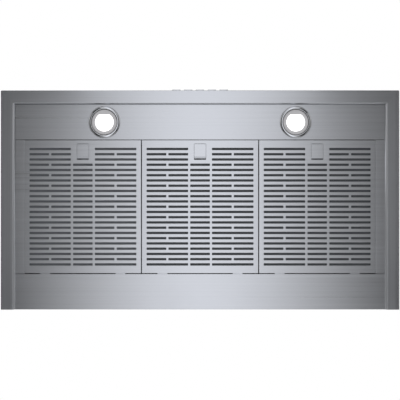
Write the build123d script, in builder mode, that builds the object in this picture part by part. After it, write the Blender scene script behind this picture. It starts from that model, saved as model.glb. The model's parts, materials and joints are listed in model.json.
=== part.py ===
# Wall-mounted chimney range hood, in millimetres.
# The wall is the plane y = 0, the front faces -Y, +X is to the right of someone facing the wall, +Z is up.
# The origin is the centre of the four wall holes in the back plate.
from build123d import *
import os
from math import acos, cos, degrees, hypot, radians, sin

os.makedirs("parts", exist_ok=True)

BACK = (Align.CENTER, Align.MAX)
FLOOR = (Align.CENTER, Align.MIN)

# Canopy
hood_width = 900.0
hood_depth = 495.0
rim_height = 60.0
pyramid_height = 190.0
hang_drop = 150.0
canopy_sheet = 1.0
rim_flange = 27.0
lip_run = 4.8
lip_return = 8.0
bend_radius = 2.0
top_flange = 15.0
plate_sheet = 1.2
seat_gap = 0.2
body_gap = 0.3
side_gap = 0.5

under_z = -hang_drop
rim_top_z = under_z + rim_height
canopy_top_z = rim_top_z + pyramid_height
face_z = under_z + lip_run
lip_top_z = under_z + lip_run + lip_return

# Wall holes
wall_hole_radius = 4.0
wall_hole_spacing_x = 300.0
wall_hole_spacing_z = 80.0

# Chimney covers
chimney_width = 300.0
chimney_depth = 280.0
chimney_sheet = 0.8
chimney_height = 400.0
chimney_ledge = 3.0
chimney_fold = 15.0
slide_gap = 0.6
upper_rise = 150.0
vent_length = 60.0
vent_width = 5.0
vent_pitch = 16.0
vent_count = 5
vent_drop = 40.0

# Underside panels
panel_sheet = 1.0
seam = 2.0
rear_panel_depth = 80.0
lamp_panel_depth = 78.7
filler_width = 20.2
filler_seam = 1.0
rail_height = 26.0
rail_foot = 15.0

# Filters
filter_sheet = 0.8
filter_height = 14.0
slot_rows = 23
slot_columns = 5
slot_width = 4.6
slot_bridge = 5.3
side_margin = 10.9
row_margin = 19.54
latch_rows = 3
mesh_rise = 3.0
mesh_thickness = 9.0
mesh_sheet = 0.6
mesh_pleats = 22
mesh_gap = 0.5
frame_border = 18.0
frame_bar = 12.0
hook_width = 22.0
hook_reach = 8.0
hook_offset = 85.0

# Latch
window_width = 27.0
window_front = 7.7
window_length = 37.0
handle_gap = 0.4
handle_length = 31.8
handle_lip = 5.0
tongue_width = 18.0
tongue_sheet = 1.2
tongue_rise = 2.6
tongue_clearance = 0.3
guide_flange = 5.0
guide_height = 8.0
guide_margin = 4.0

# Lamps
lamp_offset = 216.3
lamp_hole_radius = 30.5
bezel_radius = 35.85
bezel_inner_radius = 28.4
bezel_depth = 4.5
bezel_sleeve = 12.0
groove_gap = 0.6
ring_depth = 1.2
ring_thickness = 2.0
lens_radius = 22.5
lens_chord = 17.4
lens_thickness = 3.0
heat_sink_radius = 34.0
heat_sink_height = 24.0
heat_sink_base = 6.0
heat_sink_groove = 5.0
heat_sink_pitch = 9.0
heat_sink_grooves = 7

# Controls
fascia_width = 150.0
fascia_height = 22.0
fascia_proud = 2.0
fascia_border = 3.0
fascia_body = 9.0
button_width = 20.0
button_height = 10.0
button_pitch = 27.0
button_gap = 0.3
button_proud = 2.5
button_travel = 2.2
button_chamfer = 0.8
button_names = ["off", "low", "medium", "high", "light"]
switch_box_depth = 22.0
switch_box_height = 34.0
switch_gap = 0.5

# Blower
blower_width = 110.0
scroll_wall = 1.5
scroll_square = 10.0
scroll_radius = 76.0
throat_rear_y = -95.0
throat_width = 90.0
blower_drop = 120.0
throat_flange = 14.0
inlet_radius = 50.5
inlet_ring_wall = 1.5
inlet_ring_flange = 13.0
inlet_ring_lip = 9.0
wheel_radius = 65.0
wheel_inner_radius = 53.0
wheel_width = 96.0
wheel_end_ring = 2.0
wheel_disc = 2.0
blade_count = 24
blade_thickness = 1.0
blade_lean = 8.0
hub_radius = 11.0
hub_length = 14.0
shaft_radius = 4.0
shaft_clearance = 0.05
motor_radius = 36.0
motor_gap = 4.0
motor_boss_radius = 12.0
motor_boss_length = 6.0
bracket_reach = 4.0
bracket_thickness = 2.0
bracket_arm = 9.0
bracket_foot_radius = 61.0
bracket_foot = 5.0

# Duct collar and dampers
duct_radius = 75.0
duct_wall = 1.2
duct_height = 100.0
collar_flange = 11.0
ledge_height = 18.0
ledge_reach = 2.3
ledge_width = 12.0
damper_gap = 0.8
damper_sheet = 1.0
damper_lift = 0.4
pin_radius = 1.5
pin_clearance = 0.06
knuckle_radius = 3.0
knuckle_length = 12.0
knuckle_front = 20.0
knuckle_rear = 42.0
knuckle_gap = 0.6

# Boxes on the top plate
box_width = 57.0
box_length = 110.0
box_height = 45.0
box_wall = 2.0
box_gap = 4.0
box_y = -120.0
gland_bore = 5.5
gland_radius = 9.0
gland_nut_radius = 12.0
gland_nut_height = 6.0
gland_height = 22.0
gland_inset = 20.0
capacitor_radius = 17.0
capacitor_height = 62.0
capacitor_y = -60.0
driver_length = 110.0
driver_depth = 36.0
driver_height = 24.0

# Ceiling bracket and screws
bracket_hole_radius = 3.0
bracket_hole_spacing = 200.0
bracket_height = 40.0
bracket_sheet = 1.5
bracket_arm_length = 60.0
bracket_inset = 12.0
screw_radius = 1.8
screw_hole_gap = 0.15
screw_head_radius = 4.0
screw_head_height = 2.2
screw_length = 6.0
screw_rise = 13.0
upstand_height = 25.0


# Canopy shell

top_width = chimney_width + 2 * chimney_ledge
top_depth = chimney_depth + chimney_ledge
run_x = (hood_width - top_width) / 2
run_y = hood_depth - top_depth
wall_x = canopy_sheet * hypot(run_x, pyramid_height) / pyramid_height
wall_y = canopy_sheet * hypot(run_y, pyramid_height) / pyramid_height


def outer_width(z):
    """Width of the canopy's outside at height z on the pyramid."""
    return hood_width - 2 * run_x * (z - rim_top_z) / pyramid_height


def outer_depth(z):
    """Depth of the canopy's outside at height z on the pyramid."""
    return hood_depth - run_y * (z - rim_top_z) / pyramid_height


control_z = under_z + rim_height / 2
cutout_width = fascia_width - 2 * fascia_border
cutout_height = fascia_height - 2 * fascia_border

with BuildSketch() as rim_section:
    with BuildLine():
        FilletPolyline(
            (0, rim_height),
            (0, 0),
            (rim_flange, 0),
            (rim_flange + lip_run, lip_run),
            (rim_flange + lip_run, lip_run + lip_return),
            radius=bend_radius,
        )
        offset(amount=canopy_sheet, side=Side.LEFT)
    make_face()

left_x = -hood_width / 2
front_y = -hood_depth

# The rim's front and side runs meet in mitres at the two front corners
with BuildPart() as front_run:
    with BuildSketch(Plane((left_x, front_y, under_z), x_dir=(0, 1, 0), z_dir=(1, 0, 0))):
        add(rim_section.sketch)
    extrude(amount=hood_width)
    with BuildSketch(Plane.XY.offset(under_z)):
        Polygon((left_x, front_y), (-left_x, front_y), (0, front_y - left_x), align=None)
    extrude(amount=rim_height, mode=Mode.INTERSECT)

with BuildPart() as side_run:
    with BuildSketch(Plane((left_x, 0, under_z), x_dir=(1, 0, 0), z_dir=(0, -1, 0))):
        add(rim_section.sketch)
    extrude(amount=hood_depth)
    with BuildSketch(Plane.XY.offset(under_z)):
        Polygon((left_x, front_y), (left_x - front_y, 0), (left_x, 0), align=None)
    extrude(amount=rim_height, mode=Mode.INTERSECT)

lid_z = canopy_top_z - canopy_sheet


def pyramid(top_z, side_wall, front_wall):
    """The space under the pyramid's flat sides, taken in by the walls' thickness seen level, up to top_z."""
    low_x = hood_width / 2 - side_wall
    high_x = outer_width(top_z) / 2 - side_wall
    low_y = front_wall - hood_depth
    high_y = front_wall - outer_depth(top_z)
    with BuildPart() as space:
        with BuildSketch(Plane.XZ):
            Polygon((-low_x, rim_top_z), (low_x, rim_top_z), (high_x, top_z), (-high_x, top_z), align=None)
        extrude(amount=hood_depth)
        with BuildSketch(Plane.YZ.offset(left_x)):
            Polygon((0, rim_top_z), (0, top_z), (high_y, top_z), (low_y, rim_top_z), align=None)
        extrude(amount=hood_width, mode=Mode.INTERSECT)
    return space.part


canopy_outside = pyramid(canopy_top_z, 0, 0)
canopy_inside = pyramid(lid_z, wall_x, wall_y)

with BuildPart() as canopy_shell:
    add(front_run.part)
    add(side_run.part)
    mirror(side_run.part, about=Plane.YZ)
    add(canopy_outside)
    add(canopy_inside, mode=Mode.SUBTRACT)
    with BuildSketch(Plane.XY.offset(lid_z)):
        Rectangle(top_width - 2 * top_flange, top_depth - top_flange, align=BACK)
    extrude(amount=canopy_sheet, mode=Mode.SUBTRACT)
    with BuildSketch(Plane.XZ.offset(hood_depth)):
        with Locations((0, control_z)):
            Rectangle(cutout_width, cutout_height)
    extrude(amount=-canopy_sheet, mode=Mode.SUBTRACT)
canopy_shell.part.label = "canopy_shell"
export_step(canopy_shell.part, "parts/canopy_shell.step")

# Back plate with the wall holes and a folded top edge

plate_half = hood_width / 2 - wall_x - side_gap
plate_top_half = top_width / 2 - wall_x - side_gap
flange_half = top_width / 2 - top_flange - side_gap
plate_top_z = lid_z - seat_gap
plate_bottom_z = lip_top_z + seat_gap

with BuildPart() as back_plate:
    with BuildSketch(Plane.XZ):
        with BuildLine():
            Polyline(
                (-plate_half, plate_bottom_z),
                (plate_half, plate_bottom_z),
                (plate_half, rim_top_z),
                (plate_top_half, plate_top_z),
                (-plate_top_half, plate_top_z),
                (-plate_half, rim_top_z),
                close=True,
            )
        make_face()
        with GridLocations(wall_hole_spacing_x, wall_hole_spacing_z, 2, 2):
            Circle(wall_hole_radius, mode=Mode.SUBTRACT)
    extrude(amount=plate_sheet)
    with BuildSketch(Plane.XY.offset(plate_top_z)):
        Rectangle(2 * flange_half, top_flange, align=BACK)
    extrude(amount=plate_sheet - seat_gap)
back_plate.part.label = "back_plate"
export_step(back_plate.part, "parts/back_plate.step")

# Top plate that closes the canopy and carries the blower and the collar

top_plate_z = canopy_top_z + seat_gap
top_plate_top_z = top_plate_z + plate_sheet
top_plate_width = chimney_width - 2 * (chimney_sheet + seat_gap)
top_plate_front = chimney_depth - chimney_sheet - seat_gap
top_plate_back = chimney_sheet + seat_gap
duct_y = throat_rear_y - throat_width / 2
screw_hole_radius = screw_radius + screw_hole_gap
screw_z = top_plate_z + screw_rise
flange_screw_x = blower_width / 2 + throat_flange / 2
flange_screw_y = throat_width / 2 + throat_flange / 2

with BuildPart() as top_plate:
    with BuildSketch(Plane.XY.offset(top_plate_z)):
        with Locations((0, -top_plate_back)):
            Rectangle(top_plate_width, top_plate_front - top_plate_back, align=BACK)
    extrude(amount=upstand_height)
    with BuildSketch(Plane.XY.offset(top_plate_top_z)):
        with Locations((0, -top_plate_back)):
            Rectangle(
                top_plate_width - 2 * plate_sheet,
                top_plate_front - top_plate_back - plate_sheet,
                align=BACK,
            )
    extrude(amount=upstand_height, mode=Mode.SUBTRACT)
    with BuildSketch(Plane.XY.offset(top_plate_z)):
        with Locations((0, duct_y)):
            Rectangle(blower_width, throat_width)
            with GridLocations(2 * flange_screw_x, 2 * flange_screw_y, 2, 2):
                Circle(screw_hole_radius)
    extrude(amount=plate_sheet, mode=Mode.SUBTRACT)
    with BuildSketch(Plane.YZ.offset(-top_plate_width / 2)):
        with Locations((-chimney_depth / 2, screw_z)):
            Circle(screw_hole_radius)
    extrude(amount=top_plate_width, mode=Mode.SUBTRACT)
top_plate.part.label = "top_plate"
export_step(top_plate.part, "parts/top_plate.step")

# Chimney covers

with BuildPart() as lower_chimney:
    with BuildSketch(Plane.XY.offset(canopy_top_z)):
        Rectangle(chimney_width, chimney_depth, align=BACK)
        with Locations((0, -chimney_sheet)):
            Rectangle(
                chimney_width - 2 * chimney_sheet,
                chimney_depth - 2 * chimney_sheet,
                align=BACK,
                mode=Mode.SUBTRACT,
            )
        Rectangle(chimney_width - 2 * chimney_fold, chimney_sheet, align=BACK, mode=Mode.SUBTRACT)
    extrude(amount=chimney_height)
    with BuildSketch(Plane.YZ.offset(-chimney_width / 2)):
        with Locations((-chimney_depth / 2, screw_z)):
            Circle(screw_hole_radius)
    extrude(amount=chimney_width, mode=Mode.SUBTRACT)
lower_chimney.part.label = "lower_chimney"
export_step(lower_chimney.part, "parts/lower_chimney.step")

upper_width = chimney_width - 2 * (chimney_sheet + slide_gap)
upper_front = chimney_depth - chimney_sheet - slide_gap
upper_back = chimney_sheet + slide_gap
upper_bottom_z = canopy_top_z + upper_rise
upper_top_z = upper_bottom_z + chimney_height
bracket_z = upper_top_z - bracket_inset - bracket_height / 2
bracket_screw_y = bracket_arm_length / 2
vent_z = bracket_z - bracket_height / 2 - vent_drop

with BuildPart() as upper_chimney:
    with BuildSketch(Plane.XY.offset(upper_bottom_z)):
        with Locations((0, -upper_back)):
            Rectangle(upper_width, upper_front - upper_back, align=BACK)
        with Locations((0, -upper_back - chimney_sheet)):
            Rectangle(
                upper_width - 2 * chimney_sheet,
                upper_front - upper_back - 2 * chimney_sheet,
                align=BACK,
                mode=Mode.SUBTRACT,
            )
        with Locations((0, -upper_back)):
            Rectangle(upper_width - 2 * chimney_fold, chimney_sheet, align=BACK, mode=Mode.SUBTRACT)
    extrude(amount=chimney_height)
    with BuildSketch(Plane.XZ.offset(upper_back)):
        with Locations((0, bracket_z - bracket_height / 2 - bracket_inset)):
            Rectangle(upper_width - 2 * chimney_sheet, chimney_height, align=FLOOR)
    extrude(amount=chimney_sheet, mode=Mode.SUBTRACT)
    with BuildSketch(Plane.YZ.offset(-upper_width / 2)):
        with Locations((-upper_front / 2, vent_z)):
            with GridLocations(1, vent_pitch, 1, vent_count):
                Rectangle(vent_length, vent_width)
        with Locations((-bracket_screw_y, bracket_z)):
            Circle(screw_hole_radius)
    extrude(amount=upper_width, mode=Mode.SUBTRACT)
upper_chimney.part.label = "upper_chimney"
export_step(upper_chimney.part, "parts/upper_chimney.step")

bracket_half = upper_width / 2 - chimney_sheet - seat_gap

with BuildPart() as ceiling_bracket:
    with BuildSketch(Plane.XY.offset(bracket_z - bracket_height / 2)):
        Rectangle(2 * bracket_half, bracket_arm_length, align=BACK)
        with Locations((0, -bracket_sheet)):
            Rectangle(
                2 * (bracket_half - bracket_sheet),
                bracket_arm_length,
                align=BACK,
                mode=Mode.SUBTRACT,
            )
    extrude(amount=bracket_height)
    with BuildSketch(Plane.XZ):
        with Locations((0, bracket_z)):
            with GridLocations(bracket_hole_spacing, 1, 2, 1):
                Circle(bracket_hole_radius)
    extrude(amount=bracket_sheet, mode=Mode.SUBTRACT)
    with BuildSketch(Plane.YZ.offset(-bracket_half)):
        with Locations((-bracket_screw_y, bracket_z)):
            Circle(screw_hole_radius)
    extrude(amount=2 * bracket_half, mode=Mode.SUBTRACT)
ceiling_bracket.part.label = "ceiling_bracket"
export_step(ceiling_bracket.part, "parts/ceiling_bracket.step")

# Underside panels

panel_half = hood_width / 2 - rim_flange - lip_run - side_gap
panel_front_y = -hood_depth + rim_flange + lip_run + side_gap
lamp_rear_y = panel_front_y + lamp_panel_depth
filter_front_y = lamp_rear_y + seam
filter_rear_y = -rear_panel_depth - seam
filter_depth = filter_rear_y - filter_front_y
lamp_y = (panel_front_y + lamp_rear_y) / 2
panel_top_z = face_z + panel_sheet

with BuildPart() as lamp_panel:
    with BuildSketch(Plane.XY.offset(face_z)):
        with Locations((0, lamp_rear_y)):
            Rectangle(2 * panel_half, lamp_panel_depth, align=BACK)
    extrude(amount=lip_return)
    with BuildSketch(Plane.XY.offset(panel_top_z)):
        with Locations((0, lamp_y)):
            Rectangle(2 * (panel_half - panel_sheet), lamp_panel_depth - 2 * panel_sheet)
    extrude(amount=lip_return, mode=Mode.SUBTRACT)
    with BuildSketch(Plane.XY.offset(face_z + lip_return)):
        with Locations((0, lamp_rear_y)):
            Rectangle(2 * panel_half, panel_sheet, align=BACK)
    extrude(amount=rail_height)
    with BuildSketch(Plane.XY.offset(face_z)):
        with Locations((-lamp_offset, lamp_y), (lamp_offset, lamp_y)):
            Circle(lamp_hole_radius)
    extrude(amount=panel_sheet, mode=Mode.SUBTRACT)
lamp_panel.part.label = "lamp_panel"
export_step(lamp_panel.part, "parts/lamp_panel.step")

rail_y = lamp_rear_y - panel_sheet - seat_gap
rail_half = hood_width / 2 - canopy_sheet - side_gap
rail_bottom_z = lip_top_z + seat_gap
rail_top_z = face_z + lip_return + rail_height + seat_gap

with BuildPart() as front_rail:
    with BuildSketch(Plane.YZ.offset(-rail_half)):
        with BuildLine():
            Polyline(
                (rail_y, rail_bottom_z),
                (rail_y, rail_top_z),
                (rail_y + rail_foot, rail_top_z),
                (rail_y + rail_foot, rail_top_z + plate_sheet),
                (rail_y - plate_sheet, rail_top_z + plate_sheet),
                (rail_y - plate_sheet, rail_bottom_z),
                close=True,
            )
        make_face()
    extrude(amount=2 * rail_half)
front_rail.part.label = "front_rail"
export_step(front_rail.part, "parts/front_rail.step")

rear_panel_y = -plate_sheet - seat_gap

with BuildPart() as rear_panel:
    with BuildSketch(Plane.XY.offset(face_z)):
        with Locations((0, rear_panel_y)):
            Rectangle(2 * panel_half, rear_panel_depth + rear_panel_y, align=BACK)
    extrude(amount=lip_return)
    with BuildSketch(Plane.XY.offset(panel_top_z)):
        with Locations((0, rear_panel_y - panel_sheet)):
            Rectangle(2 * (panel_half - panel_sheet), rear_panel_depth, align=BACK)
    extrude(amount=lip_return, mode=Mode.SUBTRACT)
    with BuildSketch(Plane.XY.offset(face_z + lip_return)):
        with Locations((0, rear_panel_y)):
            Rectangle(2 * panel_half, panel_sheet, align=BACK)
    extrude(amount=rail_height)
rear_panel.part.label = "rear_panel"
export_step(rear_panel.part, "parts/rear_panel.step")

filters_half = panel_half - filler_width - filler_seam
filter_width = (2 * filters_half - 2 * seam) / 3
filter_pitch = filter_width + seam

for side, sign in {"left": -1, "right": 1}.items():
    filler_x = sign * (panel_half - filler_width / 2)
    with BuildPart() as side_filler:
        with BuildSketch(Plane.XY.offset(face_z)):
            with Locations((filler_x, filter_rear_y + seam - filler_seam)):
                Rectangle(filler_width, filter_depth + 2 * (seam - filler_seam), align=BACK)
        extrude(amount=filter_height)
        with BuildSketch(Plane.XY.offset(panel_top_z)):
            with Locations((filler_x, filter_rear_y)):
                Rectangle(filler_width - 2 * panel_sheet, 2 * filter_depth + 2 * seam)
        extrude(amount=filter_height, mode=Mode.SUBTRACT)
    side_filler.part.label = f"side_filler_{side}"
    export_step(side_filler.part, f"parts/side_filler_{side}.step")

# Filters. Rows of slots alternate: two long slots and a short one, then five short ones.
# The middle column starts below the latch window.

window_y = filter_front_y + window_front
slot_front_y = filter_front_y + row_margin
slot_pitch = (filter_depth - 2 * row_margin) / (slot_rows - 1)
column_pitch = (filter_width - 2 * side_margin + slot_bridge) / slot_columns
slot_length = column_pitch - slot_bridge
long_slot_length = slot_length + column_pitch
tray_bend = filter_sheet + 0.2

short_places = []
long_places = []
for row in range(slot_rows):
    row_y = slot_front_y + row * slot_pitch
    if row >= latch_rows:
        short_places.append((0, row_y))
    for sign in (-1, 1):
        if row % 2 == 0:
            long_places.append((sign * 1.5 * column_pitch, row_y))
        else:
            short_places.append((sign * column_pitch, row_y))
            short_places.append((sign * 2 * column_pitch, row_y))

tray_top_z = face_z + filter_height
inner_face_z = face_z + filter_sheet
hook_z = panel_top_z + body_gap
mesh_z = inner_face_z + mesh_rise
mesh_rear_y = filter_rear_y - filter_sheet - mesh_gap
mesh_front_y = filter_front_y + filter_sheet + mesh_gap
mesh_rib = 2 * mesh_sheet
frame_z = tray_top_z - filter_sheet
tongue_z = inner_face_z + tongue_rise
tongue_tip_y = lamp_rear_y + tongue_clearance
handle_width = window_width - 2 * handle_gap
handle_front_y = window_y + handle_gap
handle_rear_y = window_y + handle_length
guide_half = window_width / 2 + guide_flange
guide_front_y = filter_front_y + filter_sheet + seat_gap
guide_rear_y = window_y + window_length + guide_margin
guide_top_z = inner_face_z + guide_height

for side, place in {"left": -1, "centre": 0, "right": 1}.items():
    filter_x = place * filter_pitch
    with BuildPart() as filter_face:
        with BuildSketch(Plane.XY.offset(face_z)):
            with Locations((filter_x, filter_rear_y)):
                Rectangle(filter_width, filter_depth, align=BACK)
        extrude(amount=filter_height)
        fillet(filter_face.faces().sort_by(Axis.Z)[0].edges(), tray_bend)
        with BuildSketch(Plane.XY.offset(inner_face_z)):
            with Locations((filter_x, filter_rear_y - filter_sheet)):
                Rectangle(filter_width - 2 * filter_sheet, filter_depth - 2 * filter_sheet, align=BACK)
        extrude(amount=filter_height, mode=Mode.SUBTRACT)
        with BuildSketch(Plane.XY.offset(face_z)):
            with Locations([(filter_x + x, y) for x, y in short_places]):
                Rectangle(slot_length, slot_width)
            with Locations([(filter_x + x, y) for x, y in long_places]):
                Rectangle(long_slot_length, slot_width)
            with Locations((filter_x, window_y)):
                Rectangle(window_width, window_length, align=FLOOR)
        extrude(amount=filter_sheet, mode=Mode.SUBTRACT)
        with BuildSketch(Plane.XZ.offset(-filter_front_y)):
            with Locations((filter_x, tongue_z - seat_gap)):
                Rectangle(tongue_width + 2 * handle_gap, tongue_sheet + 2 * seat_gap, align=FLOOR)
        extrude(amount=-filter_sheet, mode=Mode.SUBTRACT)
        with BuildSketch(Plane.XY.offset(hook_z)):
            hook_y = filter_rear_y - filter_sheet
            with Locations((filter_x - hook_offset, hook_y), (filter_x + hook_offset, hook_y)):
                Rectangle(hook_width, hook_reach + filter_sheet, align=FLOOR)
        extrude(amount=filter_sheet)
    filter_face.part.label = f"filter_face_{side}"
    export_step(filter_face.part, f"parts/filter_face_{side}.step")

    mesh_half = filter_width / 2 - filter_sheet - mesh_gap
    pleats = [
        (filter_x - mesh_half + step * mesh_half / mesh_pleats, mesh_z + step % 2 * (mesh_thickness - mesh_rib))
        for step in range(2 * mesh_pleats + 1)
    ]
    with BuildPart() as filter_mesh:
        with BuildSketch(Plane.XZ.offset(-mesh_front_y)):
            Polygon(*pleats, *[(x, z + mesh_rib) for x, z in reversed(pleats)], align=None)
        extrude(amount=-(mesh_rear_y - mesh_front_y))
        with BuildSketch(Plane.XY.offset(mesh_z)):
            with Locations((filter_x, guide_rear_y + mesh_gap)):
                Rectangle(2 * (guide_half + mesh_gap), filter_depth, align=BACK)
        extrude(amount=mesh_thickness, mode=Mode.SUBTRACT)
    filter_mesh.part.label = f"filter_mesh_{side}"
    export_step(filter_mesh.part, f"parts/filter_mesh_{side}.step")

    back_width = filter_width - 2 * (filter_sheet + seat_gap)
    back_depth = filter_depth - 2 * (filter_sheet + seat_gap)
    with BuildPart() as filter_back:
        with BuildSketch(Plane.XY.offset(frame_z)):
            with Locations((filter_x, filter_rear_y - filter_depth / 2)):
                Rectangle(back_width, back_depth)
                Rectangle(back_width - 2 * frame_border, back_depth - 2 * frame_border, mode=Mode.SUBTRACT)
                with GridLocations(1, (back_depth - frame_border) / 3, 1, 2):
                    Rectangle(back_width, frame_bar)
                Rectangle(frame_bar, back_depth)
        extrude(amount=filter_sheet)
    filter_back.part.label = f"filter_back_{side}"
    export_step(filter_back.part, f"parts/filter_back_{side}.step")

    with BuildPart() as latch_guide:
        with BuildSketch(Plane.XZ.offset(-guide_front_y)):
            with BuildLine():
                Polyline(
                    (filter_x - guide_half, inner_face_z),
                    (filter_x - guide_half, inner_face_z + filter_sheet),
                    (filter_x - window_width / 2 - filter_sheet, inner_face_z + filter_sheet),
                    (filter_x - window_width / 2 - filter_sheet, guide_top_z),
                    (filter_x + window_width / 2 + filter_sheet, guide_top_z),
                    (filter_x + window_width / 2 + filter_sheet, inner_face_z + filter_sheet),
                    (filter_x + guide_half, inner_face_z + filter_sheet),
                    (filter_x + guide_half, inner_face_z),
                    (filter_x + window_width / 2, inner_face_z),
                    (filter_x + window_width / 2, guide_top_z - filter_sheet),
                    (filter_x - window_width / 2, guide_top_z - filter_sheet),
                    (filter_x - window_width / 2, inner_face_z),
                    close=True,
                )
            make_face()
        extrude(amount=-(guide_rear_y - guide_front_y))
        with BuildSketch(Plane.XZ.offset(-guide_rear_y)):
            with Locations((filter_x, guide_top_z)):
                Rectangle(window_width + 2 * filter_sheet, guide_height, align=(Align.CENTER, Align.MAX))
        extrude(amount=filter_sheet)
    latch_guide.part.label = f"latch_guide_{side}"
    export_step(latch_guide.part, f"parts/latch_guide_{side}.step")

    with BuildPart() as latch_handle:
        with BuildSketch(Plane.YZ.offset(filter_x - handle_width / 2)):
            with BuildLine():
                Polyline(
                    (handle_front_y, face_z),
                    (handle_rear_y - handle_lip, face_z),
                    (handle_rear_y, face_z + handle_lip / 2),
                    (handle_rear_y, face_z + handle_lip / 2 + tongue_sheet),
                    (handle_rear_y - handle_lip, face_z + tongue_sheet),
                    (handle_front_y + tongue_sheet, face_z + tongue_sheet),
                    (handle_front_y + tongue_sheet, tongue_z + tongue_sheet),
                    (handle_front_y, tongue_z + tongue_sheet),
                    close=True,
                )
            make_face()
        extrude(amount=handle_width)
        with BuildSketch(Plane.XY.offset(tongue_z)):
            with Locations((filter_x, tongue_tip_y)):
                Rectangle(tongue_width, handle_front_y - tongue_tip_y, align=FLOOR)
        extrude(amount=tongue_sheet)
    latch_handle.part.label = f"latch_handle_{side}"
    export_step(latch_handle.part, f"parts/latch_handle_{side}.step")

# Lamps

sleeve_radius = lamp_hole_radius - seat_gap
bezel_mid_radius = (bezel_radius + bezel_inner_radius) / 2
bezel_step = (bezel_radius - bezel_inner_radius) / 4
ring_radius = bezel_inner_radius - groove_gap
lens_z = face_z + ring_depth + seat_gap
housing_z = face_z + bezel_sleeve + seat_gap
lens_top_z = lens_z + lens_thickness

for side, sign in {"left": -1, "right": 1}.items():
    lamp_x = sign * lamp_offset
    lamp_axis = Axis((lamp_x, lamp_y, 0), (0, 0, 1))
    lamp_section = Plane((lamp_x, lamp_y, face_z), x_dir=(1, 0, 0), z_dir=(0, -1, 0))

    with BuildPart() as lamp_bezel:
        with BuildSketch(lamp_section):
            Polygon(
                (sleeve_radius, 0),
                (bezel_radius, 0),
                (bezel_mid_radius + bezel_step, -bezel_depth),
                (bezel_mid_radius - bezel_step, -bezel_depth),
                (bezel_inner_radius, -ring_depth),
                (bezel_inner_radius, bezel_sleeve),
                (sleeve_radius, bezel_sleeve),
                align=None,
            )
        revolve(axis=lamp_axis)
    lamp_bezel.part.label = f"lamp_bezel_{side}"
    export_step(lamp_bezel.part, f"parts/lamp_bezel_{side}.step")

    with BuildPart() as lamp_ring:
        with BuildSketch(Plane((lamp_x, lamp_y, face_z + ring_depth - ring_thickness))):
            Circle(ring_radius)
        extrude(amount=ring_thickness)
        with BuildSketch(Plane((lamp_x, lamp_y, face_z + ring_depth))):
            Circle(lens_radius)
            with Locations((0, -lens_chord)):
                Rectangle(2 * lens_radius, lens_radius, align=BACK, mode=Mode.SUBTRACT)
        extrude(amount=-ring_thickness, mode=Mode.SUBTRACT)
    lamp_ring.part.label = f"lamp_ring_{side}"
    export_step(lamp_ring.part, f"parts/lamp_ring_{side}.step")

    with BuildPart() as lamp_lens:
        with BuildSketch(Plane((lamp_x, lamp_y, lens_z))):
            Circle(ring_radius)
        extrude(amount=lens_thickness)
    lamp_lens.part.label = f"lamp_lens_{side}"
    export_step(lamp_lens.part, f"parts/lamp_lens_{side}.step")

    with BuildPart() as lamp_housing:
        with BuildSketch(Plane((lamp_x, lamp_y, lens_top_z + seat_gap))):
            RegularPolygon(ring_radius, 12)
        extrude(amount=housing_z - lens_top_z - seat_gap)
        with BuildSketch(Plane((lamp_x, lamp_y, housing_z))):
            RegularPolygon(heat_sink_radius, 12)
        extrude(amount=heat_sink_height)
        with BuildSketch(Plane((lamp_x, lamp_y, housing_z + heat_sink_base))):
            with GridLocations(heat_sink_pitch, 1, heat_sink_grooves, 1):
                Rectangle(heat_sink_groove, 2 * heat_sink_radius)
        extrude(amount=heat_sink_height, mode=Mode.SUBTRACT)
    lamp_housing.part.label = f"lamp_housing_{side}"
    export_step(lamp_housing.part, f"parts/lamp_housing_{side}.step")

with BuildPart() as led_driver:
    with BuildSketch(Plane.XY.offset(panel_top_z + seat_gap)):
        with Locations((0, lamp_y)):
            Rectangle(driver_length, driver_depth)
    extrude(amount=driver_height)
    chamfer(led_driver.faces().sort_by(Axis.Z)[-1].edges(), 2 * plate_sheet)
led_driver.part.label = "led_driver"
export_step(led_driver.part, "parts/led_driver.step")

# Controls on the front of the rim

fascia_front_y = front_y - fascia_proud
body_rear_y = fascia_front_y + fascia_body
button_front_y = fascia_front_y - button_proud
button_rear_y = body_rear_y
switch_front_y = button_rear_y + button_travel + switch_gap
cap_width = button_width - 2 * button_gap
cap_height = button_height - 2 * button_gap

with BuildPart() as control_fascia:
    with BuildSketch(Plane.XZ.offset(-fascia_front_y)):
        with Locations((0, control_z)):
            Rectangle(fascia_width, fascia_height)
    extrude(amount=-(fascia_proud - seat_gap))
    chamfer(control_fascia.faces().sort_by(Axis.Y)[0].edges(), fascia_proud / 4)
    with BuildSketch(Plane.XZ.offset(-fascia_front_y - fascia_proud / 2)):
        with Locations((0, control_z)):
            Rectangle(cutout_width - 2 * seat_gap, cutout_height - 2 * seat_gap)
    extrude(amount=-(fascia_body - fascia_proud / 2))
    with BuildSketch(Plane.XZ.offset(-fascia_front_y)):
        with Locations((0, control_z)):
            with GridLocations(button_pitch, 1, len(button_names), 1):
                Rectangle(button_width, button_height)
    extrude(amount=-fascia_body, mode=Mode.SUBTRACT)
control_fascia.part.label = "control_fascia"
export_step(control_fascia.part, "parts/control_fascia.step")

for place, name in enumerate(button_names):
    button_x = (place - (len(button_names) - 1) / 2) * button_pitch
    with BuildPart() as button:
        with BuildSketch(Plane.XZ.offset(-button_front_y)):
            with Locations((button_x, control_z)):
                Rectangle(cap_width, cap_height)
        extrude(amount=-(button_rear_y - button_front_y))
        chamfer(button.faces().sort_by(Axis.Y)[0].edges(), button_chamfer)
    button.part.label = f"button_{name}"
    export_step(button.part, f"parts/button_{name}.step")

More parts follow.
